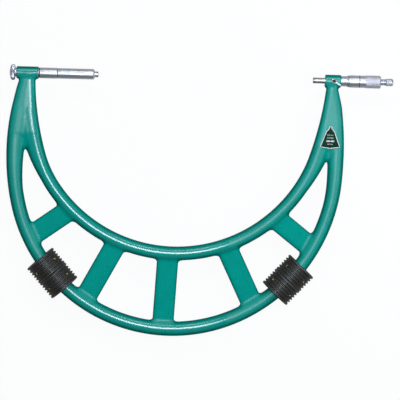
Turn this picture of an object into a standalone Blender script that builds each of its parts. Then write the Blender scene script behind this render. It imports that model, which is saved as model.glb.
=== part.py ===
"""Outside micrometer, 300 to 400 mm, with an interchangeable anvil.

The part lies flat: the measuring line is the X axis, the anvil's face is at the origin,
the bow hangs towards -Y and the front of the instrument looks up, towards +Z.
The frame is one casting. It is a flat plan of quads, inflated front and back to the
casting's thickness, so that round ribs, flat spokes and arms flow into each other.
"""
import bpy
import bmesh
from math import acos, asin, atan2, cos, degrees, hypot, pi, radians, sin, sqrt
from mathutils import Matrix, Vector

MM = 0.001

# Measuring line
GAP = 300.0 * MM                      # between the two faces at reading zero
UNIT = GAP / 300                      # the bow's plan below is drawn in these units
TRAVEL = 25.0 * MM                    # of the spindle
FACE_DIAMETER = 8.0 * MM
TIP_LENGTH = 2.0 * MM                 # of both carbide faces
CLEARANCE = 0.3 * MM                  # between neighbouring pieces

# Bow: centre lines of the two round ribs, as chains of tangent arcs, in units of the plan.
# An arc is (how far below the horizontal it begins, in degrees, and its radius).
INNER_RIB = 19.5 * MM                 # diameter
OUTER_RIB = 20.2 * MM
INNER_ARC = (111.6, -39.6, 208.3)     # the lowest arc's centre and radius
INNER_LEFT = ((35.8, 158.8), (16.9, 388.3))
INNER_RIGHT = ((35.1, 192.5), (18.6, 464.3))
OUTER_ARC = (107.8, -133.2, 221.1)
OUTER_LEFT = ((13.0, 316.5),)
OUTER_RIGHT = ((64.2, 232.7), (4.3, 482.0))

# Spokes between the ribs: their lines meet in one point, angles are from -Y
SPOKE_HUB = (112.1, -85.1)            # in units of the plan
SPOKE_ANGLES = (-54.4, -28.2, -2.8, 25.85, 52.15)
SPOKE_WIDTH = 29.9 * MM
SPOKE_THICKNESS = 10.0 * MM
SPOKE_CROWN = 8.0 * MM                # width of the rounding along each edge
WINDOW_FILLET = 4.0 * MM              # in the windows' corners
FACE_FILLET = 1.3 * MM                # rise of the spoke's face at a rib

# Arms: solid above the end windows, thinner towards the bosses
LEFT_SLOT_TOP = -107.7                # Y of the end windows' tips, in units of the plan
RIGHT_SLOT_TOP = -114.1
LEFT_SLOT_FLARE = (4.6 * MM, 4.9 * MM)    # outer and inner rib widen to the tip by
RIGHT_SLOT_FLARE = (2.2 * MM, 4.7 * MM)
FLARE_LENGTH = (56.0 * MM, 43.0 * MM)      # of the outer and the inner rib
FLARE_POWER = 1.2
SLOT_ARCH = 1.2 * MM                  # height of the tip's round end
WEB_RISE = 24.0 * MM                  # the dished web's length above the tip
NECK_Y = -12.5 * MM                   # where the arms start to flare into the bosses
NECK_THICKNESS = 14.4 * MM
NECK_TAPER = 70.0 * MM                # the arms thin down over this length
SHOULDER_POWER = 2.6                  # of the rounding along the arms' edges

# Bosses on the measuring line
BOSS_DIAMETER = 17.0 * MM
LEFT_BOSS_PROUD = (3.5 * MM, 4.1 * MM)    # past the neck's outer and inner edge
RIGHT_BOSS_PROUD = (1.3 * MM, 1.7 * MM)
BOSS_CHAMFER = 0.7 * MM

# Anvil
SHANK_DIAMETER = 10.0 * MM
ROD_DIAMETER = 14.5 * MM
COLLAR_DIAMETER = 14.9 * MM
COLLAR_LENGTH = 26.4 * MM             # from the boss to the joint between collar and rod
ROD_SHOULDER = -7.0 * MM
ROD_CONE = 1.7 * MM                   # radial width and length of the rod's end chamfer
TIP_SHOULDER = -5.2 * MM
NUT_DIAMETER = 21.8 * MM
NUT_RIM = 6.7 * MM
NUT_DOME = ((6.0, 0.0), (8.4, 0.5), (10.2, 1.5))    # radius and set-back, in units of the plan
NUT_HUB_DIAMETER = 12.6 * MM
NUT_LENGTH = 8.5 * MM
SHANK_PROUD = 0.6 * MM                # of the nut's outer face

# Head
SLEEVE_DIAMETER = 14.2 * MM
BARREL_DIAMETER = 11.4 * MM
SCREW_DIAMETER = 7.0 * MM
SCREW_NUT_LENGTH = 16.0 * MM          # threaded stretch of the barrel
THIMBLE_DIAMETER = 17.0 * MM
THIMBLE_EDGE = 15.5 * MM
SLEEVE_SHOWN = 9.0 * MM               # between the boss and the thimble's bevel
BEVEL_LENGTH = 4.5 * MM
GRIP_BAND_DIAMETER = 18.0 * MM
GRIP_BAND_LENGTH = 21.0 * MM
THIMBLE_SPARE = 21.6 * MM             # the thimble is longer than its travel by this
THIMBLE_WALL = 4.0 * MM               # its rear wall
ADJUSTING_NUT_LENGTH = 7.0 * MM

# Ratchet
NECK_DIAMETER = 8.9 * MM
NECK_LENGTH = 6.7 * MM
KNOB_DIAMETER = 10.4 * MM
KNOB_LENGTH = 10.4 * MM
SPIGOT_DIAMETER = 4.0 * MM
RATCHET_TEETH = 12
TOOTH_DEPTH = 0.6 * MM
SPRING_WIRE = 0.5 * MM
SPRING_TURNS = 3.0

# Spindle lock, on the front of the right boss
LOCK_OFFSET = 12.0 * MM               # of its axis from the boss's inner end
LOCK_EYE_DIAMETER = 7.3 * MM
LOCK_SCREW_DIAMETER = 4.0 * MM
LOCK_HEAD_DIAMETER = 4.8 * MM
HEX_WIDTH = 2.8 * MM                  # across corners of the key's hole
LEVER_REACH = 11.7 * MM
LEVER_ANGLE = -32.6                   # from +X, in the released place
LEVER_THICKNESS = 2.0 * MM
SEAT_HEIGHT = 8.2 * MM                # of the machined seat above the measuring line

# Name plate on the right arm
PLATE_RISE = 19.6 * MM                # of the plate's foot above the end window's tip
PLATE_THICKNESS = 0.6 * MM
PLATE_HEIGHT = 31.0 * MM
PLATE_TAB_WIDTH = 4.6 * MM            # at its pointed top
PLATE_SHOULDER_WIDTH = 11.6 * MM
PLATE_BOTTOM_WIDTH = 27.4 * MM
PIN_DIAMETER = 2.0 * MM
PIN_INSET = 2.2 * MM

# Grips on the outer rib: the turn of the rib's normal there, from +X
LEFT_GRIP_TURN = -138.4
RIGHT_GRIP_TURN = -42.8
GRIP_DIAMETER = 47.0 * MM
GRIP_LENGTH = 54.4 * MM
SEAM = 0.4 * MM                       # between a grip's two collars
FINS = 6                              # on each collar
FIN_DEPTH = 2.0 * MM
FIN_CREST = 0.38                      # of the fins' pitch
FIN_ROOT = 0.34
SCREW_PLACE = 0.545                   # of the way from the bore to the fins' roots
SCREW_SHANK = 2.6 * MM
SCREW_HEAD = 4.2 * MM
SCREW_HEAD_HEIGHT = 2.0 * MM
SCREW_SEAT = 8.0 * MM                 # of head and nut from the parting plane
NUT_WIDTH = 5.6 * MM
NUT_HEIGHT = 2.2 * MM

# Fineness of the mesh
RIB_SIDES = 6                         # quads across a rib's front
BAY_STEPS = 4                         # stretches of a rib between two spokes
ROUND_STEPS = 20                      # sides of the turned pieces
SMALL_STEPS = 14
HOLE_STEPS = 8
GRIP_STEPS = 8                        # of half a turn

# Finishes: colour, roughness, metallic
ENAMEL = ((0.0, 0.30, 0.25), 0.35, 0.0)
SATIN_CHROME = ((0.62, 0.62, 0.63), 0.32, 1.0)
STEEL = ((0.52, 0.52, 0.52), 0.3, 1.0)
CARBIDE = ((0.30, 0.30, 0.31), 0.3, 1.0)
BRASS = ((0.60, 0.50, 0.25), 0.35, 1.0)
BAKELITE = ((0.025, 0.025, 0.023), 0.45, 0.0)
PLATE_GREEN = ((0.01, 0.06, 0.03), 0.4, 0.0)


# General tools

def clear_scene():
    for obj in list(bpy.data.objects):
        bpy.data.objects.remove(obj)


def new_object(name, mesh, finish):
    obj = bpy.data.objects.new(name, mesh)
    bpy.context.scene.collection.objects.link(obj)
    colour, roughness, metallic = finish
    material = bpy.data.materials.new(name + "_finish")
    material.use_nodes = True
    shader = material.node_tree.nodes["Principled BSDF"]
    shader.inputs["Base Color"].default_value = (*colour, 1.0)
    shader.inputs["Roughness"].default_value = roughness
    shader.inputs["Metallic"].default_value = metallic
    mesh.materials.clear()
    mesh.materials.append(material)
    return obj


def mesh_from(bm, name):
    bmesh.ops.remove_doubles(bm, verts=bm.verts, dist=0.01 * MM)
    bmesh.ops.recalc_face_normals(bm, faces=bm.faces)
    mesh = bpy.data.meshes.new(name)
    bm.to_mesh(mesh)
    bm.free()
    shade(mesh)
    return mesh


def shade(mesh):
    mesh.shade_smooth()
    mesh.set_sharp_from_angle(angle=radians(35))


def turned_mesh(name, profile, steps=ROUND_STEPS, turn=2 * pi):
    """Revolves a closed profile of (x, radius) points about the X axis."""
    bm = bmesh.new()
    verts = [bm.verts.new((x, r, 0.0)) for x, r in profile]
    edges = [bm.edges.new((a, b)) for a, b in zip(verts, verts[1:] + verts[:1])]
    whole = abs(turn - 2 * pi) < 1e-9
    bmesh.ops.spin(bm, geom=verts + edges, cent=(0, 0, 0), axis=(1, 0, 0), angle=turn,
                   steps=steps, use_merge=whole)
    bmesh.ops.remove_doubles(bm, verts=bm.verts, dist=0.005 * MM)
    if not whole:
        bmesh.ops.holes_fill(bm, edges=[e for e in bm.edges if e.is_boundary])
    bmesh.ops.dissolve_degenerate(bm, edges=bm.edges, dist=0.002 * MM)
    return mesh_from(bm, name)


def turned(name, profile, finish, steps=ROUND_STEPS):
    return new_object(name, turned_mesh(name, profile, steps), finish)


def round_bar(name, start, end, radius, steps=ROUND_STEPS):
    """A plain cylinder between two points, used as a tool for cutting or joining."""
    start = Vector(start)
    end = Vector(end)
    bm = bmesh.new()
    bmesh.ops.create_cone(bm, cap_ends=True, segments=steps, radius1=radius, radius2=radius,
                          depth=(end - start).length)
    turn = (end - start).to_track_quat("Z", "Y").to_matrix().to_4x4()
    bmesh.ops.transform(bm, matrix=Matrix.Translation((start + end) / 2) @ turn, verts=bm.verts)
    return tool_object(name, mesh_from(bm, name))


def tool_object(name, mesh):
    obj = bpy.data.objects.new(name, mesh)
    bpy.context.scene.collection.objects.link(obj)
    obj.hide_render = True
    obj.display_type = "WIRE"
    return obj


def combine(obj, tool, operation):
    boolean = obj.modifiers.new(tool.name, "BOOLEAN")
    boolean.operation = operation
    boolean.solver = "EXACT"
    boolean.object = tool


def apply_all(obj):
    """Bakes the object's modifiers into its mesh and drops the tools that they used."""
    graph = bpy.context.evaluated_depsgraph_get()
    mesh = bpy.data.meshes.new_from_object(obj.evaluated_get(graph))
    shade(mesh)
    tools = [m.object for m in obj.modifiers if m.type == "BOOLEAN"]
    obj.modifiers.clear()
    obj.data = mesh
    for tool in set(tools):
        bpy.data.objects.remove(tool)


# Arc chains of the bow

def unit(angle):
    return Vector((cos(radians(angle)), sin(radians(angle))))


def arc_chain(lowest, left, right):
    """The tangent arcs from left to right, as (first angle, last angle, centre, radius).

    The angle is that of the path's outward normal, so it runs on smoothly
    from one arc to the next and serves as the path's parameter.
    """
    centre = Vector(lowest[:2]) * UNIT
    radius = lowest[2] * UNIT
    chain = [[-180.0 + left[0][0], -right[0][0], centre, radius]]
    middle, size = centre, radius
    for index, (below, next_radius) in enumerate(right):
        middle = middle + unit(-below) * (size - next_radius * UNIT)
        size = next_radius * UNIT
        end = -right[index + 1][0] if index + 1 < len(right) else 30.0
        chain.append([-below, end, middle, size])
    middle, size = centre, radius
    for index, (below, next_radius) in enumerate(left):
        angle = -180.0 + below
        middle = middle + unit(angle) * (size - next_radius * UNIT)
        size = next_radius * UNIT
        end = -180.0 + left[index + 1][0] if index + 1 < len(left) else -210.0
        chain.insert(0, [end, angle, middle, size])
    return chain


def at(chain, angle, offset=0.0):
    """The point at this normal angle, moved outwards by the offset."""
    for first, last, centre, radius in chain:
        if angle <= last or (first, last) == (chain[-1][0], chain[-1][1]):
            return centre + unit(angle) * (radius + offset)


def meet(chain, offset, start, direction):
    """The normal angle at which a ray from inside crosses the chain moved by the offset."""
    for first, last, centre, radius in chain:
        away = start - centre
        along = away.dot(direction)
        under = along * along - away.length_squared + (radius + offset) ** 2
        if under < 0:
            continue
        hit = away + direction * (-along + sqrt(under))
        angle = degrees(atan2(hit.y, hit.x))
        angle = angle - 360 if angle > 90 else angle
        if first - 1e-6 <= angle <= last + 1e-6:
            return angle
    raise ValueError("the ray misses the rib")


def level(chain, offset, height, side):
    """The normal angle at which the chain, moved by the offset, is at this Y."""
    for first, last, centre, radius in chain:
        rise = (height - centre.y) / (radius + offset)
        if abs(rise) > 1:
            continue
        angle = degrees(asin(rise))
        angle = angle if side == "right" else -180.0 - angle
        if first - 1e-6 <= angle <= last + 1e-6:
            return angle
    raise ValueError("the rib doesn't reach this height")


INNER = arc_chain(INNER_ARC, INNER_LEFT, INNER_RIGHT)
OUTER = arc_chain(OUTER_ARC, OUTER_LEFT, OUTER_RIGHT)
HUB = Vector(SPOKE_HUB) * UNIT
SLOT_TOP = {"left": LEFT_SLOT_TOP * UNIT, "right": RIGHT_SLOT_TOP * UNIT}
SLOT_FLARE = {"left": LEFT_SLOT_FLARE, "right": RIGHT_SLOT_FLARE}


# Frame: the casting's plan, as rows of (x, y, half thickness)

def flare(rib, point):
    """How much wider the rib is on its window side near the tip of an end window."""
    side = "left" if point.x < HUB.x else "right"
    place = 0 if rib == "outer" else 1
    below = max(0.0, SLOT_TOP[side] - point.y)
    share = max(0.0, 1.0 - below / FLARE_LENGTH[place])
    return SLOT_FLARE[side][place] * share ** FLARE_POWER


def rib_section(rib, angle, junction=0.0):
    """Points across a rib, from the throat's side outwards.

    Where a spoke joins, the section stops at the height of the junction.
    """
    chain, width = (INNER, INNER_RIB) if rib == "inner" else (OUTER, OUTER_RIB)
    half = width / 2
    window = 1.0 if rib == "inner" else -1.0
    stop = pi - asin(min(1.0, junction / half))
    row = []
    for step in range(RIB_SIDES + 1):
        theta = stop * step / RIB_SIDES
        reach = -cos(theta)
        extra = flare(rib, at(chain, angle, window * half)) if reach > 0 else 0.0
        place = at(chain, angle, window * reach * (half + extra))
        row.append((place.x, place.y, half * sin(theta)))
    return row if rib == "inner" else row[::-1]


def spoke_columns():
    """Offsets across a spoke and the half thickness there: crowned towards both edges."""
    half = SPOKE_THICKNESS / 2
    edge = SPOKE_WIDTH / 2
    rise = [(edge - SPOKE_CROWN * (1 - cos(t)), half * sin(t)) for t in (0, pi / 4, pi / 2)]
    return [(-x, h) for x, h in rise] + [(0.0, half)] + rise[::-1]


def column_start(spoke, offset):
    down = unit(spoke - 90.0)
    across = Vector((-down.y, down.x))
    return HUB + across * offset, down


def junction_height(height):
    return height * (1 + FACE_FILLET / (SPOKE_THICKNESS / 2))


def spoke_station(rib, spoke, offset, height):
    """The rib's normal angle and its section where a spoke's column runs into it."""
    chain, width = (INNER, INNER_RIB) if rib == "inner" else (OUTER, OUTER_RIB)
    half = width / 2
    window = 1.0 if rib == "inner" else -1.0
    rise = junction_height(height)
    reach = window * sqrt(half * half - rise * rise)
    start, down = column_start(spoke, offset)
    angle = meet(chain, reach, start, down)
    section = rib_section(rib, angle, rise)
    if height == 0.0:
        inward = down if rib == "inner" else -down
        outward = Vector((-down.y, down.x)) * (1 if offset > 0 else -1)
        bulge = (inward + outward) * WINDOW_FILLET * (1 - sqrt(0.5))
        edge = 0 if rib == "outer" else -1
        x, y, h = section[edge]
        section[edge] = (x + bulge.x, y + bulge.y, h)
    return angle, section


def rib_rows(rib):
    """All sections of a rib, from the left end window's tip to the right one's."""
    chain, width = (INNER, INNER_RIB) if rib == "inner" else (OUTER, OUTER_RIB)
    half = width / 2
    window = 1.0 if rib == "inner" else -1.0
    columns = spoke_columns()
    turn = degrees(WINDOW_FILLET / (INNER_ARC if rib == "inner" else OUTER_ARC)[2] / UNIT)
    begin = level(chain, window * half, SLOT_TOP["left"], "left")
    finish = level(chain, window * half, SLOT_TOP["right"], "right")
    rows = []
    previous = begin
    for spoke in SPOKE_ANGLES:
        stations = [spoke_station(rib, spoke, x, h) for x, h in columns]
        first = stations[0][0] - turn
        last = stations[-1][0] + turn
        steps = BAY_STEPS + 1 if previous == begin else BAY_STEPS
        rows += [rib_section(rib, previous + (first - previous) * k / steps)
                 for k in range(steps + 1)]
        rows += [section for angle, section in stations]
        previous = last
    steps = BAY_STEPS + 1
    rows += [rib_section(rib, previous + (finish - previous) * k / steps)
             for k in range(steps + 1)]
    return rows


def spoke_rows(spoke):
    """Rows across a spoke, from the inner rib to the outer one."""
    columns = spoke_columns()
    inner = [spoke_station("inner", spoke, x, h)[1][-1] for x, h in columns]
    outer = [spoke_station("outer", spoke, x, h)[1][0] for x, h in columns]
    plain = []
    for x, h in columns:
        start, down = column_start(spoke, x)
        ends = []
        for rib, chain, width, window in (("inner", INNER, INNER_RIB, 1.0),
                                          ("outer", OUTER, OUTER_RIB, -1.0)):
            reach = window * width / 2
            angle = meet(chain, reach, start, down)
            ends.append((at(chain, angle, reach) - start).dot(down))
        near = ends[0] + WINDOW_FILLET
        far = ends[1] - WINDOW_FILLET
        plain.append([(*(start + down * s), h) for s in (near, (near + far) / 2, far)])
    return [inner] + [list(row) for row in zip(*plain)] + [outer]


def shoulder(share):
    """Rise of an arm's rounded edge: 0 at the edge, 1 where the face begins."""
    rest = 1.0 - max(0.0, min(1.0, share))
    return (1.0 - rest ** SHOULDER_POWER) ** (1.0 / SHOULDER_POWER)


def smooth(share):
    share = max(0.0, min(1.0, share))
    return share * share * (3 - 2 * share)


def arm_half_thickness(height):
    """Half the arm's thickness at this Y: the ribs' at the bottom, thinner at the neck."""
    full = (INNER_RIB + OUTER_RIB) / 4
    share = smooth((NECK_Y - height) / NECK_TAPER)
    return NECK_THICKNESS / 2 + (full - NECK_THICKNESS / 2) * share


def arm_edges(side, share):
    """Edge points of an arm's row: share 0 is at the window's tip, 1 at the neck."""
    tips = {}
    edges = []
    for rib, chain, width, window in (("outer", OUTER, OUTER_RIB, -1.0),
                                      ("inner", INNER, INNER_RIB, 1.0)):
        tips[rib] = level(chain, window * width / 2, SLOT_TOP[side], side)
        low = at(chain, tips[rib], -window * width / 2).y
        height = low + (NECK_Y - low) * share
        angle = level(chain, -window * width / 2, height, side)
        edges.append(at(chain, angle, -window * width / 2))
    return edges


def boss(side):
    """Where the boss begins and ends along X, from the edges of the arm's neck."""
    outer, inner = arm_edges(side, 1.0)
    if side == "left":
        return outer.x - LEFT_BOSS_PROUD[0], inner.x + LEFT_BOSS_PROUD[1]
    return inner.x - RIGHT_BOSS_PROUD[1], outer.x + RIGHT_BOSS_PROUD[0]


def arm_rows(side):
    """Rows across an arm, each from the outer edge to the inner one."""
    outer_angle = level(OUTER, -OUTER_RIB / 2, SLOT_TOP[side], side)
    inner_angle = level(INNER, INNER_RIB / 2, SLOT_TOP[side], side)
    outer_rib = rib_section("outer", outer_angle)[::-1]
    inner_rib = rib_section("inner", inner_angle)[::-1]
    tip = ((outer_rib[-1][0] + inner_rib[0][0]) / 2,
           (outer_rib[-1][1] + inner_rib[0][1]) / 2 + SLOT_ARCH, 0.0)
    first = outer_rib + [tip] + inner_rib
    length = NECK_Y - SLOT_TOP[side]
    outer_edge, inner_edge = arm_edges(side, 0.0)
    span = (inner_edge - outer_edge).length
    places = [(Vector(point[:2]) - outer_edge).length / span for point in first]
    count = len(first) - 1
    rows = [first]
    climbs = (2.5 * MM, 6.0 * MM, 12.0 * MM, WEB_RISE)
    more = 5
    shares = [climb / length for climb in climbs]
    shares += [shares[-1] + (1 - shares[-1]) * (k + 1) / more for k in range(more)]
    for share in shares:
        outer_edge, inner_edge = arm_edges(side, share)
        mix = smooth(share * 1.3)
        web = smooth(share * length / WEB_RISE) ** 0.35
        row = []
        for index, (place, point) in enumerate(zip(places, first)):
            even = (1 - cos(pi * index / count)) / 2
            across = place + (even - place) * mix
            spot = outer_edge.lerp(inner_edge, across)
            width = (inner_edge - outer_edge).length
            thick = arm_half_thickness(spot.y)
            rounding = min(OUTER_RIB / 2, width / 2)
            face = thick * shoulder(across * width / rounding)
            face *= shoulder((1 - across) * width / rounding)
            row.append((spot.x, spot.y, face * web + point[2] * (1 - web)))
        row[0] = (*row[0][:2], 0.0)
        row[-1] = (*row[-1][:2], 0.0)
        rows.append(row)
    return rows + neck_rows(side, rows[-1])


def neck_rows(side, last):
    """The arm's top, which spreads with a fillet to the ends of its boss and ends in it."""
    low, high = boss(side)
    outer_x, inner_x = last[0][0], last[-1][0]
    ends = (low, high) if side == "left" else (high, low)
    margin = BOSS_CHAMFER if side == "left" else -BOSS_CHAMFER
    spread = (ends[0] + margin - outer_x, ends[1] - margin - inner_x)
    under = -BOSS_DIAMETER / 2
    rows = []
    for height, share in ((under * 1.2, 0.22), (under * 1.0, 0.62), (under * 0.85, 1.0),
                          (under * 0.3, 1.0)):
        row = []
        for x, y, h in last:
            place = (x - outer_x) / (inner_x - outer_x)
            shift = spread[0] * (1 - place) + spread[1] * place
            row.append((x + shift * share, height, h))
        rows.append(row)
    return rows


def add_patch(bm, rows):
    """Both faces of a patch of the plan: the front at +h and the back at -h."""
    for sign in (1, -1):
        grid = [[bm.verts.new((x, y, sign * h)) for x, y, h in row] for row in rows]
        for low, high in zip(grid, grid[1:]):
            for k in range(len(low) - 1):
                bm.faces.new((low[k], low[k + 1], high[k + 1], high[k]))


def add_cap(bm, row):
    """Closes an arm's end inside its boss."""
    front = [bm.verts.new((x, y, h)) for x, y, h in row]
    back = [bm.verts.new((x, y, -h)) for x, y, h in row]
    for k in range(len(row) - 1):
        bm.faces.new((front[k], front[k + 1], back[k + 1], back[k]))


def frame():
    bm = bmesh.new()
    add_patch(bm, rib_rows("inner"))
    add_patch(bm, rib_rows("outer"))
    for spoke in SPOKE_ANGLES:
        add_patch(bm, spoke_rows(spoke))
    for side in ("left", "right"):
        rows = arm_rows(side)
        add_patch(bm, rows)
        add_cap(bm, rows[-1])
    bmesh.ops.remove_doubles(bm, verts=bm.verts, dist=0.01 * MM)
    bmesh.ops.dissolve_degenerate(bm, edges=bm.edges, dist=0.01 * MM)
    bmesh.ops.triangulate(bm, faces=bm.faces)
    casting = new_object("frame", mesh_from(bm, "frame"), ENAMEL)
    for side in ("left", "right"):
        low, high = boss(side)
        radius = BOSS_DIAMETER / 2
        profile = [(low, 0), (low, radius - BOSS_CHAMFER), (low + BOSS_CHAMFER, radius),
                   (high - BOSS_CHAMFER, radius), (high, radius - BOSS_CHAMFER), (high, 0)]
        name = side + "_boss"
        combine(casting, tool_object(name, turned_mesh(name, profile)), "UNION")
    reach = 5 * MM
    low, high = boss("left")
    anvil_bore = round_bar("anvil_bore", (low - reach, 0, 0), (high + reach, 0, 0),
                           SHANK_DIAMETER / 2 + CLEARANCE)
    head_bore = turned_mesh("head_bore", head_bore_profile())
    lock_bore = turned_mesh("lock_bore", lock_bore_profile())
    stand_up(lock_bore)
    combine(casting, anvil_bore, "DIFFERENCE")
    combine(casting, tool_object("head_bore", head_bore), "DIFFERENCE")
    combine(casting, tool_object("lock_bore", lock_bore), "DIFFERENCE")
    apply_all(casting)


def head_bore_profile():
    """Spindle bore on the throat's side, wider for the barrel behind it."""
    low, high = boss("right")
    guide = FACE_DIAMETER / 2 + CLEARANCE
    seat = BARREL_DIAMETER / 2 + CLEARANCE
    step = barrel_start() - CLEARANCE
    return [(low - CLEARANCE, 0), (low - CLEARANCE, guide), (step, guide), (step, seat),
            (high + CLEARANCE, seat), (high + CLEARANCE, 0)]


def lock_bore_profile():
    """Bore of the lock's screw and shoe, with the flat seat on top, along X for turning."""
    bore = LOCK_SCREW_DIAMETER / 2 + CLEARANCE
    seat = LOCK_EYE_DIAMETER / 2 + CLEARANCE
    top = BOSS_DIAMETER / 2 + 1 * MM
    return [(0.5 * MM, 0), (0.5 * MM, bore), (SEAT_HEIGHT, bore), (SEAT_HEIGHT, seat),
            (top, seat), (top, 0)]


def stand_up(mesh):
    """Turns a mesh that was made along X upright, onto the lock's axis."""
    upright = Matrix.Rotation(-pi / 2, 4, "Y")
    mesh.transform(Matrix.Translation((lock_x(), 0, 0)) @ upright)


def lock_x():
    return boss("right")[0] + LOCK_OFFSET


# Anvil side

def anvil():
    shank = SHANK_DIAMETER / 2
    rod = ROD_DIAMETER / 2
    tip = FACE_DIAMETER / 2
    low, high = boss("left")
    nut_face = low - CLEARANCE - NUT_LENGTH
    chamfer = 0.6 * MM
    start = nut_face - SHANK_PROUD
    joint = high + COLLAR_LENGTH
    carbide = -TIP_LENGTH - CLEARANCE / 3
    turned("anvil_rod", [
        (start, 0), (start, shank - chamfer), (start + chamfer, shank),
        (joint + CLEARANCE / 2, shank), (joint + CLEARANCE / 2, rod),
        (ROD_SHOULDER, rod), (ROD_SHOULDER + ROD_CONE, rod - ROD_CONE),
        (TIP_SHOULDER, rod - ROD_CONE), (TIP_SHOULDER, tip), (carbide, tip),
        (carbide, 0)], SATIN_CHROME)
    turned("anvil_tip", [(-TIP_LENGTH, 0), (-TIP_LENGTH, tip),
                         (-chamfer / 2, tip), (0, tip - chamfer / 2), (0, 0)], CARBIDE)
    bore = shank + CLEARANCE
    step = high + CLEARANCE
    spigot = 1.0 * MM
    turned("anvil_collar", [
        (step, bore), (step, COLLAR_DIAMETER / 2 - 0.85 * MM),
        (step + spigot, COLLAR_DIAMETER / 2 - 0.85 * MM),
        (step + spigot, COLLAR_DIAMETER / 2), (joint - CLEARANCE / 2, COLLAR_DIAMETER / 2),
        (joint - CLEARANCE / 2, bore)], SATIN_CHROME)
    anvil_nut(nut_face, bore, chamfer)


def anvil_nut(face, bore, chamfer):
    rim = NUT_DIAMETER / 2
    hub = NUT_HUB_DIAMETER / 2
    back = face + NUT_RIM
    seat = face + NUT_LENGTH
    dome = [(face + back_set * UNIT, radius * UNIT) for radius, back_set in NUT_DOME]
    turned("anvil_clamp_nut", [(face, bore)] + dome + [
        (face + 4 * chamfer, rim), (back - 1.5 * chamfer, rim), (back, rim - 2 * chamfer),
        (back, hub), (seat, hub), (seat, bore)], SATIN_CHROME)


# Head: barrel, sleeve, spindle and thimble

def thimble_start():
    return boss("right")[1] + SLEEVE_SHOWN


def thimble_end():
    return thimble_start() + TRAVEL + THIMBLE_SPARE


def barrel_start():
    return lock_x() + LOCK_SCREW_DIAMETER / 2 + 1.6 * MM


def barrel_end():
    return thimble_end() - THIMBLE_WALL - 6 * MM


def sleeve_end():
    return thimble_start() + TRAVEL + 2 * MM


def screw_start():
    """Where the spindle's screw begins: its plain stretch never reaches the nut's thread."""
    return barrel_end() - SCREW_NUT_LENGTH - TRAVEL - 1 * MM


def head():
    bore = FACE_DIAMETER / 2 + CLEARANCE
    thread = SCREW_DIAMETER / 2 + CLEARANCE
    barrel = BARREL_DIAMETER / 2
    start, end = barrel_start(), barrel_end()
    nut = end - SCREW_NUT_LENGTH
    turned("inner_sleeve", [(start, bore), (start, barrel), (end, barrel), (end, thread),
                            (nut, thread), (nut, bore)], STEEL)
    sleeve = SLEEVE_DIAMETER / 2
    inside = barrel + CLEARANCE
    turned("outer_sleeve", [
        (boss("right")[1] + CLEARANCE, inside), (boss("right")[1] + CLEARANCE, sleeve),
        (sleeve_end(), sleeve), (sleeve_end(), inside)], SATIN_CHROME)
    front = sleeve_end() + CLEARANCE
    back = front + ADJUSTING_NUT_LENGTH
    turned("adjusting_nut", [
        (front, inside), (front, sleeve - 0.6 * MM), (front + 1 * MM, sleeve - 0.2 * MM),
        (back, sleeve - 0.2 * MM), (back, inside)], STEEL)
    spindle()
    thimble()


def spindle():
    plain = FACE_DIAMETER / 2
    screw = SCREW_DIAMETER / 2
    seat = thimble_end() - THIMBLE_WALL
    carbide = GAP + TIP_LENGTH + CLEARANCE / 3
    hollow = SPIGOT_DIAMETER / 2 + CLEARANCE
    begin = screw_start()
    turned("spindle", [
        (carbide, 0), (carbide, plain), (begin, plain), (begin + 0.5 * MM, screw),
        (seat - 2 * MM, screw), (seat + THIMBLE_WALL - 0.5 * MM, screw - 0.5 * MM),
        (seat + THIMBLE_WALL - 0.5 * MM, hollow), (seat - 6 * MM, hollow),
        (seat - 6 * MM, 0)], STEEL)
    chamfer = 0.3 * MM
    turned("spindle_tip", [(GAP, 0), (GAP, plain - chamfer), (GAP + chamfer, plain),
                           (GAP + TIP_LENGTH, plain), (GAP + TIP_LENGTH, 0)], CARBIDE)


def thimble():
    inside = SLEEVE_DIAMETER / 2 + CLEARANCE
    body = THIMBLE_DIAMETER / 2
    grip = GRIP_BAND_DIAMETER / 2
    start, end = thimble_start(), thimble_end()
    band = end - GRIP_BAND_LENGTH
    wall = end - THIMBLE_WALL
    hole = SCREW_DIAMETER / 2 + CLEARANCE
    chamfer = 1.2 * MM
    turned("thimble", [
        (start, inside), (start, THIMBLE_EDGE / 2), (start + BEVEL_LENGTH, body), (band, body),
        (band + 0.4 * MM, grip), (end - chamfer, grip), (end, grip - chamfer),
        (end, hole - 0.4 * MM), (wall, hole), (wall, inside)], SATIN_CHROME)


# Ratchet

def neck_end():
    return thimble_end() + CLEARANCE + NECK_LENGTH


def knob_end():
    return neck_end() + CLEARANCE + KNOB_LENGTH


def knob_wall():
    return knob_end() - 3.0 * MM


def spigot_end():
    return knob_wall() - 0.3 * MM


def ratchet():
    ratchet_body()
    radius = KNOB_DIAMETER / 2
    start, end = neck_end() + CLEARANCE, knob_end()
    cavity = NECK_DIAMETER / 2 - 0.5 * MM
    screw = 1.1 * MM
    turned("ratchet_knob", [
        (start, cavity), (start, radius - 0.5 * MM), (start + 0.8 * MM, radius),
        (end - 2.2 * MM, radius), (end - 0.7 * MM, radius - 0.7 * MM),
        (end, radius - 2.2 * MM), (end, 2.6 * MM), (end - 1.6 * MM, 2.6 * MM),
        (end - 1.6 * MM, screw + CLEARANCE), (knob_wall(), screw + CLEARANCE),
        (knob_wall(), cavity)], SATIN_CHROME)
    head_start = end - 1.6 * MM + CLEARANCE
    turned("ratchet_screw", [
        (spigot_end() - 2.5 * MM, 0), (spigot_end() - 2.5 * MM, screw), (head_start, screw),
        (head_start, 2.3 * MM), (end - 0.4 * MM, 2.3 * MM), (end - 0.1 * MM, 1.9 * MM),
        (end - 0.1 * MM, 0)], STEEL, SMALL_STEPS)
    ratchet_disc(start, cavity)


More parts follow.
